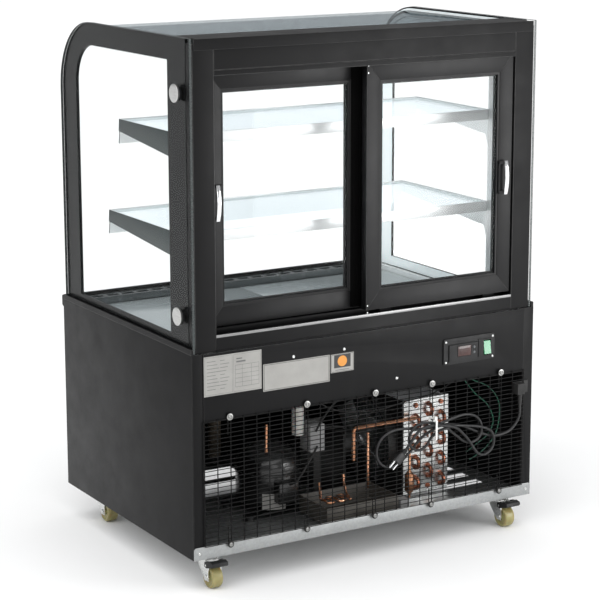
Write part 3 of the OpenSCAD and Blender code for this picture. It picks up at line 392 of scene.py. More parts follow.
def add_lathe(bm, centre, axis, profile, sides=40):
    """Turn a profile of (distance along the axis, radius) round a line through centre."""
    axis = Vector(axis).normalized()
    u = axis.orthogonal().normalized()
    v = axis.cross(u)
    rings = []
    for t, r in profile:
        middle = Vector(centre) + axis * t
        if r < 1e-7:
            rings.append([bm.verts.new(middle)])
        else:
            rings.append([bm.verts.new(middle + (u * math.cos(a) + v * math.sin(a)) * r)
                          for a in (2 * math.pi * k / sides for k in range(sides))])
    for a, b in zip(rings, rings[1:]):
        for k in range(sides):
            j = (k + 1) % sides
            if len(a) == 1 and len(b) > 1:
                bm.faces.new((a[0], b[k], b[j]))
            elif len(b) == 1 and len(a) > 1:
                bm.faces.new((a[k], a[j], b[0]))
            elif len(a) > 1:
                bm.faces.new((a[k], a[j], b[j], b[k]))
    for ring in (rings[0], rings[-1]):
        if len(ring) > 1:
            bm.faces.new(ring)


def smooth_line(points, per=6):
    """A curve through every point."""
    p = [Vector(q) for q in points]
    line = []
    for i in range(len(p) - 1):
        a, b, c, d = p[max(i - 1, 0)], p[i], p[i + 1], p[min(i + 2, len(p) - 1)]
        for k in range(per):
            t = k / per
            line.append(0.5 * (2 * b + (c - a) * t + (2 * a - 5 * b + 4 * c - d) * t * t
                               + (3 * b - a - 3 * c + d) * t * t * t))
    return line + [p[-1]]


def add_tube(bm, line, radius, sides=10):
    """A round tube along a line, without twist. The radius may be one number or one for each point."""
    n = len(line)
    radii = radius if isinstance(radius, (list, tuple)) else [radius] * n
    tangents = [(line[min(i + 1, n - 1)] - line[max(i - 1, 0)]).normalized() for i in range(n)]
    u = tangents[0].orthogonal().normalized()
    rings = []
    for p, t, r in zip(line, tangents, radii):
        u = (u - t * u.dot(t)).normalized()
        v = t.cross(u)
        rings.append([bm.verts.new(p + (u * math.cos(a) + v * math.sin(a)) * r)
                      for a in (2 * math.pi * k / sides for k in range(sides))])
    capped_skin(bm, rings)


def tube(name, points, radius, body, material, sides=10, per=6):
    bm = bmesh.new()
    add_tube(bm, smooth_line(points, per), radius, sides)
    return emit(name, bm, body, material)


def copied(node):
    """The CAD node's mesh in a bmesh, with its doubled points and flat triangles merged."""
    bm = bmesh.new()
    bm.from_mesh(NODES[node].data)
    bmesh.ops.remove_doubles(bm, verts=bm.verts, dist=2e-6)
    bmesh.ops.dissolve_limit(bm, angle_limit=math.radians(0.6), verts=bm.verts, edges=bm.edges)
    return bm


def parts_of(bm):
    """The separate solids in a bmesh, as (faces, lowest corner, highest corner)."""
    left, found = set(bm.faces), []
    while left:
        seed = left.pop()
        group, queue = {seed}, [seed]
        while queue:
            for e in queue.pop().edges:
                for f in e.link_faces:
                    if f in left:
                        left.remove(f)
                        group.add(f)
                        queue.append(f)
        points = [v.co for f in group for v in f.verts]
        lo = Vector([min(p[i] for p in points) for i in range(3)])
        hi = Vector([max(p[i] for p in points) for i in range(3)])
        found.append((group, lo, hi))
    return found


def islands(node):
    """The boxes of a node's separate solids."""
    bm = copied(node)
    boxes = [(lo, hi) for _, lo, hi in parts_of(bm)]
    bm.free()
    return boxes


def softened(node, materials, width, segments=2, smooth=32.0, angle=28.0, edge=True, pick=None, face=None,
             tuck=0.0):
    """The CAD node's own shape with its edges rounded, which stands for the node.

    pick gives the material index of each separate solid from its box, and face that of one face.
    With edge, the last material is for the rounded edges. tuck pulls each solid's sides in along X,
    clear of a pane that it lies against."""
    bm = copied(node)
    for group, lo, hi in parts_of(bm):
        index = pick(lo, hi) if pick else 0
        for f in group:
            f.material_index = face(f) if face else index
        if tuck:
            middle = (lo.x + hi.x) / 2
            for v in {v for f in group for v in f.verts}:
                v.co.x -= math.copysign(tuck, v.co.x - middle)
    bevel_sharp(bm, width * MM, angle, segments, len(materials) - 1 if edge else -1)
    obj = emit(node + "_shape", bm, body_of(node), materials, smooth)
    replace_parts(obj, node)
    return obj


def pane(node, index, materials, width=0.6, hidden=None):
    """A glass node with arrised edges. index gives the material of a face, and the arrises take the second.

    hidden picks the faces inside a sealed unit, which are left out so that light passes fewer surfaces."""
    bm = copied(node)
    bm.normal_update()
    for f in bm.faces:
        f.material_index = index(f)
    bevel_sharp(bm, width * MM, 60.0, 1)
    if hidden:
        bm.normal_update()
        bmesh.ops.delete(bm, geom=[f for f in bm.faces if hidden(f)], context="FACES")
    obj = emit(node + "_panes", bm, body_of(node), materials, 20.0)
    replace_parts(obj, node)
    return obj


def finish_node(node, *materials):
    """Give a kept CAD node its finished materials."""
    data = NODES[node].data
    data.materials.clear()
    for m in materials:
        data.materials.append(m)
    data.shade_smooth()
    data.set_sharp_from_angle(angle=math.radians(30))


# ---- power lead

# The lead's centreline in millimetres, from the clip to the plug
LEAD = [[-409, 337, 306], [-409, 336.5, 283], [-399.5, 334.5, 261.5], [-381.5, 334.5, 247.5],
    [-358, 334, 242], [-335.5, 334, 242.5], [-314, 334.5, 248.5], [-292, 334, 257.5],
    [-271, 334, 268], [-250, 334, 278], [-227.5, 335.5, 285.5], [-204.5, 334, 289.5],
    [-179.5, 334, 288.5], [-158.5, 334, 288.5], [-133, 334, 289], [-112.5, 334, 292],
    [-89, 334, 296], [-65, 334, 297.5], [-42, 334, 293.5], [-22.5, 334, 282], [-10.5, 334, 262.5],
    [-11, 334, 239.5], [-24, 334, 220.5], [-45.5, 334.5, 212], [-68, 334, 216], [-87.5, 334, 229],
    [-106.5, 334, 244.5], [-121.5, 334.5, 260.5], [-140, 337, 275], [-160.5, 342.5, 286],
    [-180, 338.5, 295.5], [-202.5, 339.5, 301], [-225.5, 340.5, 306], [-248.5, 340.5, 308],
    [-271.5, 340, 303], [-290, 339, 289.5], [-297, 340.5, 267.5], [-288, 342, 247],
    [-266.5, 341.5, 238.5], [-245, 340.5, 245.5], [-226, 340.5, 260], [-209, 341.5, 274],
    [-190, 342.5, 288.5], [-170.5, 348, 298], [-147.5, 344, 304], [-124.5, 343.5, 305.5],
    [-104.5, 342.5, 296.5], [-92.5, 342, 276], [-97.5, 342, 254], [-117, 342, 242.5],
    [-138.5, 342, 248.5], [-152.5, 343, 267], [-168.5, 348.5, 281.5], [-191.5, 351, 286.5],
    [-216, 344.5, 287], [-236, 344, 284], [-259.5, 344, 280], [-282.5, 345.5, 275.5],
    [-304, 348, 268.5], [-323, 344.5, 256], [-332, 342, 234], [-324.5, 342, 213.5],
    [-304, 343.5, 204], [-282.5, 347, 211], [-268, 348.5, 228], [-253.5, 350, 248], [-238, 350, 265],
    [-221.5, 351.5, 280], [-200.5, 356.5, 290.5], [-177.5, 356.5, 295.5], [-156.5, 353.5, 299.5],
    [-131, 351, 297], [-110.5, 350.5, 288], [-94.5, 351, 271], [-80, 350, 253]]
LEAD_D = 6.5 * MM


def make_lead():
    line = smooth_line([Vector(p) * MM for p in LEAD], 6)
    bm = bmesh.new()
    add_tube(bm, line, LEAD_D / 2, 14)
    lead = emit("lead", bm, "case", SHEATH)
    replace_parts(lead, "power_cord")
    plug = make_plug(line[-1])
    tie = make_tie()


def make_plug(end):
    """The moulded plug: a ribbed tail, a tapered grip, two blades and an earth pin."""
    a = math.radians(42)
    x, z = Vector((math.cos(a), 0, -math.sin(a))), Vector((math.sin(a), 0, math.cos(a)))
    y = Vector((0, 1, 0))
    bm = bmesh.new()
    tail = [(0.0, 4.0), (1.5, 4.3)]
    for k in range(5):
        start, swell = 2.2 + 2.2 * k, 0.15 * k
        tail += [(start, 5.1 + swell), (start + 1.2, 5.1 + swell), (start + 1.4, 4.4 + swell)]
    tail += [(14.0, 5.9)]
    add_lathe(bm, end, x, [(t * MM, r * MM) for t, r in tail], 28)

    def section(t, half_y, half_z, power=3.4, sides=36):
        ring = []
        for k in range(sides):
            c, s = math.cos(2 * math.pi * k / sides), math.sin(2 * math.pi * k / sides)
            ring.append(bm.verts.new(end + x * t * MM
                        + y * math.copysign(abs(c) ** (2 / power), c) * half_y * MM
                        + z * math.copysign(abs(s) ** (2 / power), s) * half_z * MM))
        return ring
    stations = [(13.0, 5.2, 6.2), (16.0, 6.4, 8.4), (21.0, 7.2, 9.8), (28.0, 7.6, 10.4), (34.0, 8.2, 10.8),
                (37.6, 8.6, 10.9), (38.8, 8.0, 10.4)]
    capped_skin(bm, [section(*q) for q in stations])
    body = emit("plug_body", bm, "case", SHEATH)
    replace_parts(body, "mains_plug")

    bm = bmesh.new()
    for side in (-6.3, 6.3):
        for v in add_box(bm, (38.5 * MM, -3.2 * MM, (side - 0.75) * MM),
                         (56 * MM, 3.2 * MM, (side + 0.75) * MM)):
            v.co = end + x * v.co.x + y * v.co.y + z * v.co.z
    add_lathe(bm, end + x * 38.5 * MM - y * 5.5 * MM, x,
              [(0, 2.3 * MM), (17 * MM, 2.3 * MM), (19 * MM, 1.4 * MM)], 20)
    bevel_sharp(bm, 0.25 * MM, 40.0, 1, 0)
    pins = emit("plug_pins", bm, "case", CHROME)
    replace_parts(pins, "mains_plug")
    return body


def make_tie():
    """A nylon tie pulled flat round the bundle, with its head."""
    lo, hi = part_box("cord_tie")
    x0, x1 = lo.x + 1.2 * MM, hi.x - 1.2 * MM
    y0, y1, z0, z1 = lo.y, hi.y, lo.z, hi.z - 6 * MM
    bm = bmesh.new()

    def ring(inset, r):
        pts = []
        for cy, cz, start in ((y1 - r, z1 - r, 0), (y0 + r, z1 - r, 90), (y0 + r, z0 + r, 180),
                              (y1 - r, z0 + r, 270)):
            for k in range(7):
                a = math.radians(start + 15 * k)
                rr = r - inset
                pts.append((cy + rr * math.cos(a), cz + rr * math.sin(a)))
        return pts
    outer, inner = ring(0, 6 * MM), ring(1.0 * MM, 6 * MM)
    loops = [[bm.verts.new((x, p[0], p[1])) for p in loop] for x, loop in
             ((x0, outer), (x1, outer), (x1, inner), (x0, inner))]
    skin(bm, loops + loops[:1])
    add_box(bm, (lo.x, hi.y - 8.8 * MM, hi.z - 7 * MM), (hi.x, hi.y - 2.6 * MM, hi.z))
    tie = emit("tie_loop", bm, "case", WHITE)
    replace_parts(tie, "cord_tie")
    return tie


make_lead()


# ---- steel base

def make_base():
    washer_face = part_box("guard_screws")[1].y - 3.3 * MM

    # Painted shade: the washers of the lower row take the dark machine black, standing in for the shade low
    # on the guard.
    def lower_washer_shade(f):
        middle = f.calc_center_median()
        return 1 if middle.z < 0.2 and middle.y < washer_face else 0
    softened("floor_pan", [ZINC, ZINC_EDGE], 0.5)
    for node in ("side_panel_left", "side_panel_right", "front_panel", "service_panel"):
        softened(node, [BLACK, BLACK_EDGE], 0.6)
    softened("base_bead", [BLACK, BLACK_EDGE], 1.4, 3)
    softened("panel_screws", [ZINC_PLATE], 0.3, edge=False)
    softened("guard_screws", [SCREW_PLATE, DARK_INSIDE], 0.4, edge=False, face=lower_washer_shade)
    finish_node("mesh_guard", GUARD_BLACK)
    make_labels()


def make_labels():
    """Three blank plates: ruled rating plate, framed notice, and a plain orange disc."""
    plates = sorted(islands("label_plates"), key=lambda b: -b[0].x)
    for name, (lo, hi) in zip(("label_rating", "label_notice", "label_mark"), plates):
        y1 = hi.y
        w, h = hi.x - lo.x, hi.z - lo.z
        bm = bmesh.new()
        add_box(bm, lo, hi)
        bevel_sharp(bm, 0.15 * MM, 28.0, 1, 0)

        def patch(x0, z0, x1, z1, index, lift=0.06):
            # x runs from the plate's left as it is read, which is the +X side
            made = add_box(bm, (hi.x - x1 * w, y1 - 0.05 * MM, lo.z + z0 * h),
                           (hi.x - x0 * w, y1 + lift * MM, lo.z + z1 * h))
            for f in {f for v in made for f in v.link_faces}:
                f.material_index = index

        def outline(x0, z0, x1, z1, t, index):
            tx, tz = t * MM / w, t * MM / h
            patch(x0, z0, x1, z0 + tz, index)
            patch(x0, z1 - tz, x1, z1, index)
            patch(x0, z0 + tz, x0 + tx, z1 - tz, index)
            patch(x1 - tx, z0 + tz, x1, z1 - tz, index)

        if name == "label_rating":
            outline(0.015, 0.03, 0.49, 0.97, 0.5, 2)
            outline(0.51, 0.03, 0.985, 0.97, 0.5, 2)
            for k in range(9):
                z = 0.86 - 0.088 * k
                patch(0.05, z, 0.20 + 0.03 * ((k * 5) % 4), z + 0.014, 2)
                patch(0.28, z, 0.36 + 0.025 * ((k * 3) % 4), z + 0.014, 2)
            for k in range(6):
                patch(0.54, 0.14 + 0.11 * k, 0.955, 0.148 + 0.11 * k, 2)
            for x in (0.54, 0.66, 0.82, 0.951):
                patch(x, 0.14, x + 0.004, 0.694, 2)
            patch(0.56, 0.76, 0.72, 0.80, 2)
            patch(0.56, 0.84, 0.66, 0.87, 2)
        elif name == "label_notice":
            outline(0.012, 0.03, 0.988, 0.97, 0.9, 1)
        else:
            outline(0.02, 0.03, 0.98, 0.97, 0.7, 1)
            patch(0.14, 0.24, 0.86, 0.94, 1)
            add_lathe(bm, ((lo.x + hi.x) / 2, y1 + 0.05 * MM, lo.z + 0.59 * h), (0, 1, 0),
                      [(0, 12.2 * MM), (0.1 * MM, 12.2 * MM)], 48)
            for f in bm.faces[-50:]:
                f.material_index = 3
            patch(0.2, 0.10, 0.8, 0.14, 2)
        plate = emit(name, bm, "case", [LABEL, LABEL_LINE, LABEL_GREY, ORANGE])
        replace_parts(plate, "label_plates")


# ---- controls

def make_controls():
    softened("control_bezel", [PLASTIC], 0.7, 3, edge=False)
    softened("thermostat_body", [PLASTIC], 0.6, 3, edge=False)
    softened("display_window", [WINDOW], 0.3, edge=False)
    softened("rocker_switch", [GREEN], 0.9, 3, edge=False)
    softened("key_up", [KEY], 0.4, 3, edge=False)
    softened("key_down", [KEY], 0.4, 3, edge=False)
    # A raised lip round the display
    lo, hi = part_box("display_window")
    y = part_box("thermostat_body")[1].y
    bm = bmesh.new()
    gap = 0.4 * MM
    ring_frame(bm, 1, y - 0.3 * MM, y + 0.5 * MM, (lo.x - gap, lo.z - gap, hi.x + gap, hi.z + gap), 1.3 * MM)
    bevel_sharp(bm, 0.25 * MM, 28.0, 2, 0)
    emit("display_lip", bm, "case", PLASTIC)


def ring_frame(bm, axis, start, end, window, width):
    """A flat rectangular ring outside a window (a0, b0, a1, b1), pushed along an axis."""
    def corners(w):
        a0, b0, a1, b1 = window[0] - w, window[1] - w, window[2] + w, window[3] + w
        return [(a0, b0), (a1, b0), (a1, b1), (a0, b1)]
    corners_in, corners_out = corners(0), corners(width)
    loops = [flat_loop(bm, outline, axis, at) for outline, at in
             ((corners_out, start), (corners_out, end), (corners_in, end), (corners_in, start))]
    skin(bm, loops + loops[:1])


# ---- cold well

def make_well():
    softened("insulated_tub", [LINER], 1.5, edge=False)
    softened("deck_panels", [DECK, STEEL_EDGE], 0.4)
    softened("air_duct", [DUCT, PLASTIC], 0.4, edge=False,
             pick=lambda lo, hi: 1 if hi.x - lo.x < 0.06 else 0)
    softened("evaporator_coil", [FIN, COPPER], 0.1, 1, edge=False,
             pick=lambda lo, hi: 0 if hi.x - lo.x < 0.004 else 1)
    softened("evaporator_fan", [PLASTIC], 0.5, edge=False)


# ---- machine compartment

def make_machine():
    make_compressor()
    make_condenser()
    softened("fan_shroud", [DARK_INSIDE, BLACK_EDGE], 0.8)
    softened("condenser_fan", [FIN], 0.5, edge=False)
    softened("refrigerant_lines", [COPPER, FOAM], 0.5, edge=False,
             pick=lambda lo, hi: 1 if min(hi - lo) > 0.025 else 0)
    softened("electrical_box", [GREY, DARK_INSIDE, HOSE], 1.2, 3, edge=False,
             pick=lambda lo, hi: 2 if hi.z > 0.35 else 0 if min(hi - lo) > 0.02 else 1)
    softened("condensate_pan", [TRAY, COPPER, ZINC], 0.8, edge=False, pick=pick_pan)
    make_box_vents()
    make_hot_gas_loop()
    make_wiring()


def pick_pan(lo, hi):
    size = hi - lo
    if size.z > 0.03:
        return 0
    return 2 if lo.z < 0.081 else 1


def make_compressor():
    softened("compressor", [SHELL, RUBBER], 1.6, 3, edge=False,
             pick=lambda lo, hi: 1 if hi.x - lo.x < 0.03 and hi.z < 0.09 else 0)
    shell_r, cx, cy = 76 * MM, 140 * MM, 100 * MM
    # The weld where the two halves of the shell meet
    bm = bmesh.new()
    profile = [(0, shell_r - 1 * MM), (0, shell_r + 1.2 * MM), (1.5 * MM, shell_r + 2.6 * MM),
               (5.5 * MM, shell_r + 2.6 * MM), (7 * MM, shell_r + 1.2 * MM), (7 * MM, shell_r - 1 * MM)]
    add_lathe(bm, (cx, cy, 176 * MM), (0, 0, 1), profile, 72)
    emit("compressor_weld", bm, "case", SHELL)
    # A blank label bent round the shell
    bm = bmesh.new()
    inner, outer = shell_r + 0.1 * MM, shell_r + 0.45 * MM
    columns = []
    for k in range(17):
        a = math.radians(50 + 42 * k / 16)
        c, s = math.cos(a), math.sin(a)
        columns.append([bm.verts.new((cx + r * c, cy + r * s, z)) for r, z in
                        ((outer, 0.100), (outer, 0.138), (inner, 0.138), (inner, 0.100))])
    capped_skin(bm, columns)
    emit("compressor_label", bm, "case", LABEL)


def make_condenser():
    """End plates, a tight pack of fins, and copper tubes with their return bends."""
    lo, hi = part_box("condenser_coil")
    x0, x1, z0, z1 = lo.x, hi.x, lo.z, hi.z
    bend_r, tube_r = 12.7 * MM, 4.75 * MM
    y0, y1 = lo.y + bend_r + tube_r, hi.y - bend_r - tube_r
    bm = bmesh.new()
    for y in (y0 + 3 * MM, y1 - 5 * MM):
        add_box(bm, (x0, y, z0), (x1, y + 1.6 * MM, z1))
        # Folded flanges of the end plate
        for x in (x0, x1 - 1.2 * MM):
            inner, outer = (y - 12 * MM, y) if y > 0 else (y + 1.6 * MM, y + 13 * MM)
            add_box(bm, (x, inner, z0), (x + 1.2 * MM, outer, z1))
    bevel_sharp(bm, 0.3 * MM, 28.0, 1, 0)
    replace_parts(emit("condenser_plates", bm, "case", ZINC_PLATE), "condenser_coil")

    bm = bmesh.new()
    pitch = 3.2 * MM
    for k in range(int((y1 - y0 - 24 * MM) / pitch)):
        y = y0 + 10 * MM + pitch * k
        add_box(bm, (x0 + 3 * MM, y, z0 + 4 * MM), (x1 - 3 * MM, y + 0.3 * MM, z1 - 3 * MM))
    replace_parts(emit("condenser_fins", bm, "case", FIN), "condenser_coil")

    bm = bmesh.new()
    first_x, step_x, first_z, step_z, rows = 22 * MM, 36 * MM, 16 * MM, 25.4 * MM, 9
    for col in range(3):
        for row in range(rows):
            x, z = x0 + first_x + step_x * col, z0 + first_z + step_z * row
            add_tube(bm, [Vector((x, y0 - 1 * MM, z)), Vector((x, y1 + 1 * MM, z))], tube_r, 14)
            # Soldered sockets where a tube leaves the end plate
            add_lathe(bm, (x, y1 - 3.2 * MM, z), (0, 1, 0),
                      [(0, 6.4 * MM), (2.0 * MM, 6.2 * MM), (3.4 * MM, 5.0 * MM)], 16)
            if row < rows - 1:
                at_rear = (row + col) % 2 == 0
                y, out = (y1, 1) if at_rear else (y0, -1)
                arc = [Vector((x, y + out * bend_r * math.sin(a), z + bend_r * (1 - math.cos(a))))
                       for a in (math.pi * k / 12 for k in range(13))]
                add_tube(bm, arc, tube_r, 14)
    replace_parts(emit("condenser_tubes", bm, "case", COPPER_DARK), "condenser_coil")


def make_box_vents():
    """Raised louvres on the relay cover."""
    lo, hi = next((a, b) for a, b in islands("electrical_box")
                  if 0.2 < b.z < 0.35 and min(b - a) > 20 * MM)
    bm = bmesh.new()
    count = 8
    for k in range(count):
        z = lo.z + (hi.z - lo.z) * (0.10 + 0.82 * k / count)
        add_prism(bm, [(hi.y - 0.2 * MM, z), (hi.y + 1.8 * MM, z), (hi.y - 0.2 * MM, z + 4.2 * MM)],
                  0, lo.x + 4 * MM, hi.x - 4 * MM)
    bevel_sharp(bm, 0.3 * MM, 28.0, 2, 0)
    emit("relay_louvres", bm, "case", GREY)


def make_hot_gas_loop():
    """The copper loop that dips into the drip tray and boils the water off."""
    lo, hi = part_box("condensate_pan")
    level, y0, y1 = hi.z + 7 * MM, lo.y + 70 * MM, hi.y - 10 * MM
    runs, spacing, tube_r, sides, per = 5, 15 * MM, 3.2 * MM, 12, 8
    xs = [hi.x - 12 * MM - spacing * k for k in range(runs)]
    points = [(xs[0], y0, level + 40 * MM), (xs[0], y0 + 4 * MM, level + 12 * MM)]
    for k, x in enumerate(xs):
        ys = (y0, y1) if k % 2 == 0 else (y1, y0)
        points += [(x, ys[0] + (ys[1] - ys[0]) * t, level + 3 * MM * math.sin(math.pi * t))
                   for t in (0.12, 0.5, 0.88)]
    points += [(xs[-1] - 10 * MM, y0 + 2 * MM, level + 8 * MM),
               (xs[-1] - 12 * MM, y0 - 12 * MM, level + 44 * MM)]
    tube("hot_gas_loop", points, tube_r, "case", COPPER, sides, per)


def make_wiring():
    """Fixed wires inside the compartment, clipped at both ends."""
    wires = [
        ("earth_wire_a", [(-300, 250, 398), (-304, 250, 372), (-332, 262, 330), (-360, 276, 300),
                          (-372, 284, 262), (-352, 290, 232), (-318, 292, 214), (-292, 286, 196)],
         1.5, EARTH),
        ("earth_wire_b", [(-310, 254, 398), (-322, 256, 366), (-366, 270, 342), (-388, 282, 306),
                          (-384, 290, 262), (-366, 296, 226), (-330, 298, 196), (-300, 290, 178)],
         1.5, EARTH),
        ("supply_wire", [(70, 200, 280), (60, 212, 310), (30, 222, 350), (-30, 230, 378), (-90, 240, 396)],
         2.6, RUBBER),
        ("motor_wire", [(-60, 108, 226), (-44, 150, 258), (0, 176, 276), (44, 180, 280)], 2.2, RUBBER),
        ("compressor_wire", [(140, 190, 160), (128, 214, 176), (96, 216, 220), (66, 200, 244)], 2.6, RUBBER),
        ("sensor_wire", [(-250, 292, 398), (-246, 286, 372), (-206, 262, 344), (-140, 250, 332),
                         (-60, 240, 320), (30, 220, 330), (96, 214, 372), (110, 210, 398)], 1.5, RUBBER),
    ]
    for name, points, radius, material in wires:
        tube(name, [Vector(p) * MM for p in points], radius * MM, "case", material, 8, 8)


# ---- glass house

def make_house():
    softened("rear_frame", [BLACK, BLACK_EDGE], 1.2, 3)
    softened("rear_sill", [BLACK, TRIM], 0.8, 2, edge=False,
             pick=lambda lo, hi: 1 if hi.z - lo.z < 0.006 else 0)
    softened("top_cap", [BLACK, BLACK_EDGE], 1.2, 3)
    softened("light_bar", [ZINC, WHITE], 0.6, edge=False,
             pick=lambda lo, hi: 1 if hi.z - lo.z < 0.006 else 0)
    # The inward faces of the edging take the painted glow.
    softened("side_edgings", [EDGING, EDGING_INNER_GLOW], 0.2, 1, edge=False, tuck=0.25 * MM,
             face=lambda f: 1 if f.normal.x * f.calc_center_median().x < -0.1 else 0)
    gap_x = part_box("side_glasses")[1].x - 10 * MM

    def faces_gap(f):
        x = f.calc_center_median().x
        return f.normal.x * math.copysign(1.0, x) * math.copysign(1.0, abs(x) - gap_x) < -0.9
    pane("side_glasses", lambda f: 0 if abs(f.normal.x) > 0.9 else 1, [PANE, PANE_EDGE], hidden=faces_gap)
    for side in (-1, 1):
        make_edge_seal(side)
    pane("front_glass", front_face, [PANE, PANE_EDGE, TOP_PANE_SHADED])
    make_standoffs()


def make_edge_seal(side):
    """The dark sealant along the rim of a side unit, which follows its rounded front."""
    lo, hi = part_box("side_glasses")
    edging_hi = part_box("side_edgings")[1]
    corner, inset_out, inset_in = 160 * MM, 0.7 * MM, 4.6 * MM

    def path(inset):
        y0, z1, r = lo.y + inset, hi.z - inset, corner - inset
        arc = [(y0 + r * (1 - math.sin(a)), z1 - r * (1 - math.cos(a)))
               for a in (math.radians(90 - 90 * k / 32) for k in range(33))]
        return [(y0, lo.z + 1 * MM)] + arc + [(edging_hi.y, z1)]
    outline = path(inset_out) + path(inset_in)[::-1]
    x0, x1 = sorted((side * (edging_hi.x - 0.35 * MM), side * (edging_hi.x - 7.6 * MM)))
    bm = bmesh.new()
    half = len(outline) // 2
    walls = [[bm.verts.new((x, y, z)) for y, z in outline] for x in (x0, x1)]
    for k in range(half - 1):
        for wall in walls:
            bm.faces.new((wall[k], wall[k + 1], wall[-k - 2], wall[-k - 1]))
    skin(bm, walls)
    emit("edge_seal_%s" % ("left" if side > 0 else "right"), bm, "case", EDGING)


def front_face(f):
    """0 on the front and the bend, 2 on the flat top, which is tinted darker as painted shade, and 1 on the
    edges.
    """
    lo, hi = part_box("front_glass")
    middle = f.calc_center_median()
    if abs(f.normal.x) > 0.5 or middle.z < lo.z + 0.1 * MM or middle.y > hi.y - 0.1 * MM:
        return 1
    return 2 if abs(f.normal.z) > 0.99 else 0


def make_standoffs():
    """Satin discs on black collars, which clamp the side glass."""
    for k, (lo, hi) in enumerate(sorted(islands("glass_standoffs"), key=lambda b: (b[0].x, b[0].z))):
        side = 1 if lo.x > 0 else -1
        root = Vector((lo.x if side > 0 else hi.x, (lo.y + hi.y) / 2, (lo.z + hi.z) / 2))
        r = (hi.z - lo.z) / 2
        depth = hi.x - lo.x
        bm = bmesh.new()
        add_lathe(bm, root, (side, 0, 0), [(0, r - 2.2 * MM), (3.8 * MM, r - 2.2 * MM)], 64)
        for f in bm.faces:
            f.material_index = 1
        start = len(bm.faces)
        add_lathe(bm, root, (side, 0, 0), [
            (4.0 * MM, r - 1.0 * MM), (4.3 * MM, r - 0.2 * MM), (5.0 * MM, r), (depth - 1.6 * MM, r),
            (depth - 0.8 * MM, r - 0.5 * MM), (depth - 0.35 * MM, r - 1.6 * MM),
            (depth - 0.15 * MM, r - 4 * MM), (depth, 0)], 64)
        bm.faces.ensure_lookup_table()
        for f in bm.faces[start:]:
            f.material_index = 0
        cap = emit("standoff_%d" % (k + 1), bm, "case", [SATIN, PLASTIC], 24.0)
        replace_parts(cap, "glass_standoffs")


# ---- sliding doors

def make_door(side):
    body = "door_" + side
    softened(body + "_frame", [DOOR_BLACK, BLACK_EDGE], 0.5, 2)
    lo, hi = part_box(body + "_glass")
    middle = (lo.y + hi.y) / 2
    pane(body + "_glass", lambda f: 0 if abs(f.normal.y) > 0.9 else 1, [DOOR_PANE, PANE_EDGE],
         hidden=lambda f: f.normal.y * math.copysign(1.0, f.calc_center_median().y - middle) < -0.9)
    face_in, face_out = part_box(body + "_frame")[0].y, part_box(body + "_frame")[1].y
    # Glazing beads, outside and inside, and the dark spacer between the panes
    beads = (("bead_out", hi.y, face_out - 1.2 * MM, 5.5 * MM),
             ("bead_in", face_in + 1.2 * MM, lo.y, 5.5 * MM),
             ("spacer", lo.y + 4.1 * MM, hi.y - 4.1 * MM, 9 * MM))
    for name, y0, y1, w in beads:
        bm = bmesh.new()
        ring_frame(bm, 1, y0, y1, (lo.x + w, lo.z + w, hi.x - w, hi.z - w), w - 0.1 * MM)
        bevel_sharp(bm, 0.7 * MM if name != "spacer" else 0.2 * MM, 28.0, 2, 0)
        emit("%s_%s" % (body, name), bm, body, DOOR_BLACK if name != "spacer" else PLASTIC)
    make_interlock(side)
    make_stile_screws(body)
    make_handle(body)


def make_interlock(side):
    """A brush strip on the meeting stile, which closes the gap to the other door. Its near-black finish also
    paints the shade between the doors.
    """
    body = "door_" + side
    lo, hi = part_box(body + "_frame")
    out = 1 if side == "left" else -1
    x_meet = lo.x if side == "left" else hi.x
    y0, y1 = (hi.y - 0.2 * MM, hi.y + 2.4 * MM) if side == "left" else (lo.y - 2.4 * MM, lo.y + 0.2 * MM)
    bm = bmesh.new()
    for a, b, t in ((1.5, 34.0, 1.0), (4.0, 12.0, 4.0), (22.0, 30.0, 4.0)):
        xs = sorted((x_meet + out * a * MM, x_meet + out * b * MM))
        rise = (y1 - y0) * (0.45 if t < 2 else 1.0)
        ys = (y0, y0 + rise) if side == "left" else (y1 - rise, y1)
        add_box(bm, (xs[0], ys[0], lo.z + 16 * MM), (xs[1], ys[1], hi.z - 6 * MM))
    bevel_sharp(bm, 0.4 * MM, 28.0, 2, 0)
    emit(body + "_interlock", bm, body, SEAL_BLACK_SHADE)


def make_stile_screws(body):
    """Small countersunk screws through both ends of the stiles."""
    lo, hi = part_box(body + "_frame")
    out = 1 if body.endswith("left") else -1
    x = (lo.x if out > 0 else hi.x) + out * 4 * MM
    bm = bmesh.new()
    for z in (hi.z - 8 * MM, hi.z - 24 * MM, lo.z + 24 * MM, lo.z + 8 * MM):
        add_lathe(bm, (x, hi.y - 0.3 * MM, z), (0, 1, 0),
                  [(0, 1.9 * MM), (0.4 * MM, 1.9 * MM), (0.6 * MM, 1.5 * MM), (0.5 * MM, 0.7 * MM),
                   (0.2 * MM, 0)], 20)
    emit(body + "_screws", bm, body, ZINC_PLATE)


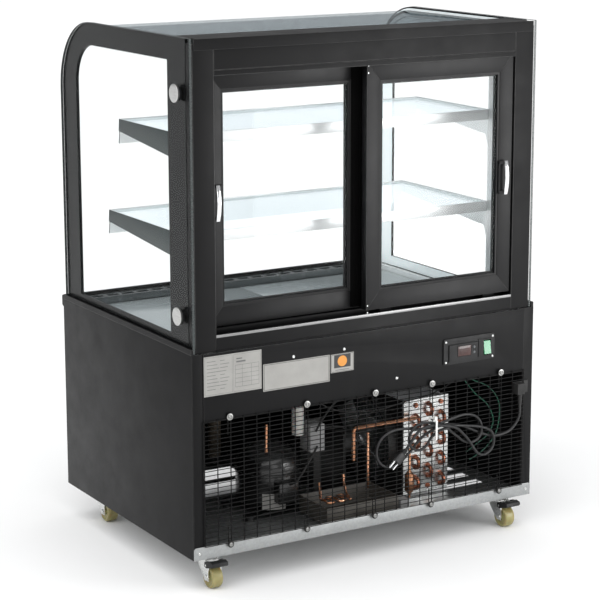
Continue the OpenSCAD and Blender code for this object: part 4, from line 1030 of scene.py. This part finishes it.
def make_handle(body):
    """A bow handle: a black base beside the glass, two arms, and a bright grip bowed outwards."""
    lo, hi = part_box(body + "_handle")
    side = 1 if body.endswith("left") else -1
    half_w, arm_h, y0, y1 = 5.5 * MM, 7 * MM, lo.y, hi.y
    x = (hi.x if side > 0 else lo.x) - side * half_w
    base_x = (lo.x if side > 0 else hi.x) + side * 3 * MM
    bm = bmesh.new()
    add_box(bm, (base_x - 3 * MM, y0, lo.z + 1 * MM), (base_x + 3 * MM, y0 + 2.8 * MM, hi.z - 1 * MM))
    for z in (lo.z + 1 * MM, hi.z - 8 * MM):
        add_prism(bm, [(base_x - side * 3 * MM, y0 + 0.4 * MM), (base_x + side * 3 * MM, y0 + 0.4 * MM),
                       (x + side * 3 * MM, y1 - 10 * MM), (x + side * 3 * MM, y1 - 7.4 * MM),
                       (x - side * 2 * MM, y1 - 7.4 * MM), (base_x - side * 3 * MM, y0 + 5 * MM)],
                  2, z, z + arm_h)
    bevel_sharp(bm, 0.8 * MM, 28.0, 3, 0)
    post = emit(body + "_handle_base", bm, body, PLASTIC)
    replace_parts(post, body + "_handle")
    # The grip's section is a flat oval, thinner at its ends
    bm = bmesh.new()
    rings = []
    steps, sides = 28, 24
    for i in range(steps + 1):
        t = i / steps
        bow = math.sin(math.pi * t)
        end = min(1.0, 4.5 * min(t, 1 - t) + 0.25) ** 0.5
        z = lo.z + (hi.z - lo.z) * t
        thick = (1.7 + 0.3 * bow) * end * MM
        y = y1 - 2.05 * MM - 5.0 * MM * (1 - bow)
        wide = half_w * (0.62 + 0.38 * end)
        rings.append([bm.verts.new((x + wide * math.copysign(abs(math.cos(a)) ** 0.8, math.cos(a)),
                                    y + thick * math.sin(a), z))
                      for a in (2 * math.pi * k / sides for k in range(sides))])
    capped_skin(bm, rings)
    grip = emit(body + "_grip", bm, body, CHROME, 50.0)
    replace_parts(grip, body + "_handle")


# ---- shelves

def make_shelves():
    # The outward faces of the brackets take the painted shade.
    softened("shelf_frames", [STEEL, STEEL_SHADED, STEEL_EDGE], 0.5,
             face=lambda f: 1 if f.normal.x * f.calc_center_median().x > 0.3 else 0)
    softened("shelf_uprights", [STEEL_Y, STEEL_EDGE], 0.35)
    # The shelf panes carry the painted reflection of the shelf glass.
    pane("shelf_glasses", lambda f: 0 if abs(f.normal.z) > 0.9 else 1, [SHELF_PANE_GLOW, SHELF_EDGE], 0.8)


# ---- casters

def make_casters():
    softened("caster_plates", [ZINC_PLATE], 0.6, edge=False)
    for corner in ("rear_left", "rear_right", "front_left", "front_right"):
        softened("caster_fork_" + corner, [ZINC_PLATE], 0.7, 3, edge=False)
        softened("caster_wheel_" + corner, [AMBER, TYRE], 0.8, 3, edge=False)
    for side in ("left", "right"):
        softened("brake_pedal_" + side, [PLASTIC], 0.9, 3, edge=False)


# ---- stage and light

def make_stage():
    bm = bmesh.new()
    bmesh.ops.create_grid(bm, x_segments=1, y_segments=1, size=60.0)
    mesh = bpy.data.meshes.new("floor")
    bm.to_mesh(mesh)
    bm.free()
    s = Surface("pale_floor")
    s.colour(s.mix(s.span(s.noise(1.5, 3.0), 0.3, 0.7), (0.86, 0.86, 0.86), (0.89, 0.89, 0.89)))
    s.roughness(s.span(s.noise(4.0), 0.3, 0.7, 0.7, 0.8))
    mesh.materials.append(s.mat)
    floor = bpy.data.objects.new("floor", mesh)
    bpy.context.scene.collection.objects.link(floor)

    make_world(backdrop=1.15, ambient=0.36)
    sun = bpy.data.lights.new("overhead", "SUN")
    sun.energy, sun.angle = 3.0, math.radians(100)
    lamp = bpy.data.objects.new("overhead", sun)
    lamp.rotation_euler = (math.radians(-12), math.radians(14), 0)
    bpy.context.scene.collection.objects.link(lamp)
    lights = (("side", (3.6, -0.4, 1.7), (0.4, 0.0, 0.6), 1.8, 18.0),
              ("rear", (0.6, 4.4, 1.2), (0.0, 0.3, 0.3), 1.6, 14.0),
              ("rear_right", (-1.75, 2.5, 0.75), (-0.3, 0.3, 0.75), 1.3, 34.0))
    for name, place, target, size, power in lights:
        data = bpy.data.lights.new(name, "AREA")
        data.shape = "SQUARE"
        data.size = size
        data.energy = power
        lamp = bpy.data.objects.new(name, data)
        lamp.location = place
        lamp.rotation_euler = (Vector(target) - Vector(place)).to_track_quat("-Z", "Y").to_euler()
        bpy.context.scene.collection.objects.link(lamp)
    bpy.context.scene.view_settings.view_transform = "Standard"
    bpy.context.scene.view_settings.look = "None"


def make_world(backdrop, ambient):
    """A white backdrop, and a dimmer room for the light that falls on the case."""
    world = bpy.data.worlds.new("studio")
    world.use_nodes = True
    tree = world.node_tree
    dim = tree.nodes["Background"]
    dim.inputs["Color"].default_value = (0.98, 0.99, 1.0, 1.0)
    dim.inputs["Strength"].default_value = ambient
    bright = tree.nodes.new("ShaderNodeBackground")
    bright.inputs["Color"].default_value = (1.0, 1.0, 1.0, 1.0)
    bright.inputs["Strength"].default_value = backdrop
    path = tree.nodes.new("ShaderNodeLightPath")
    mix = tree.nodes.new("ShaderNodeMixShader")
    tree.links.new(path.outputs["Is Camera Ray"], mix.inputs[0])
    tree.links.new(dim.outputs[0], mix.inputs[1])
    tree.links.new(bright.outputs[0], mix.inputs[2])
    tree.links.new(mix.outputs[0], tree.nodes["World Output"].inputs["Surface"])
    bpy.context.scene.world = world


make_base()
make_controls()
make_well()
make_machine()
make_house()
for door_side in ("left", "right"):
    make_door(door_side)
make_shelves()
make_casters()
softened("strain_relief", [RUBBER], 0.8, 3, edge=False)
make_stage()
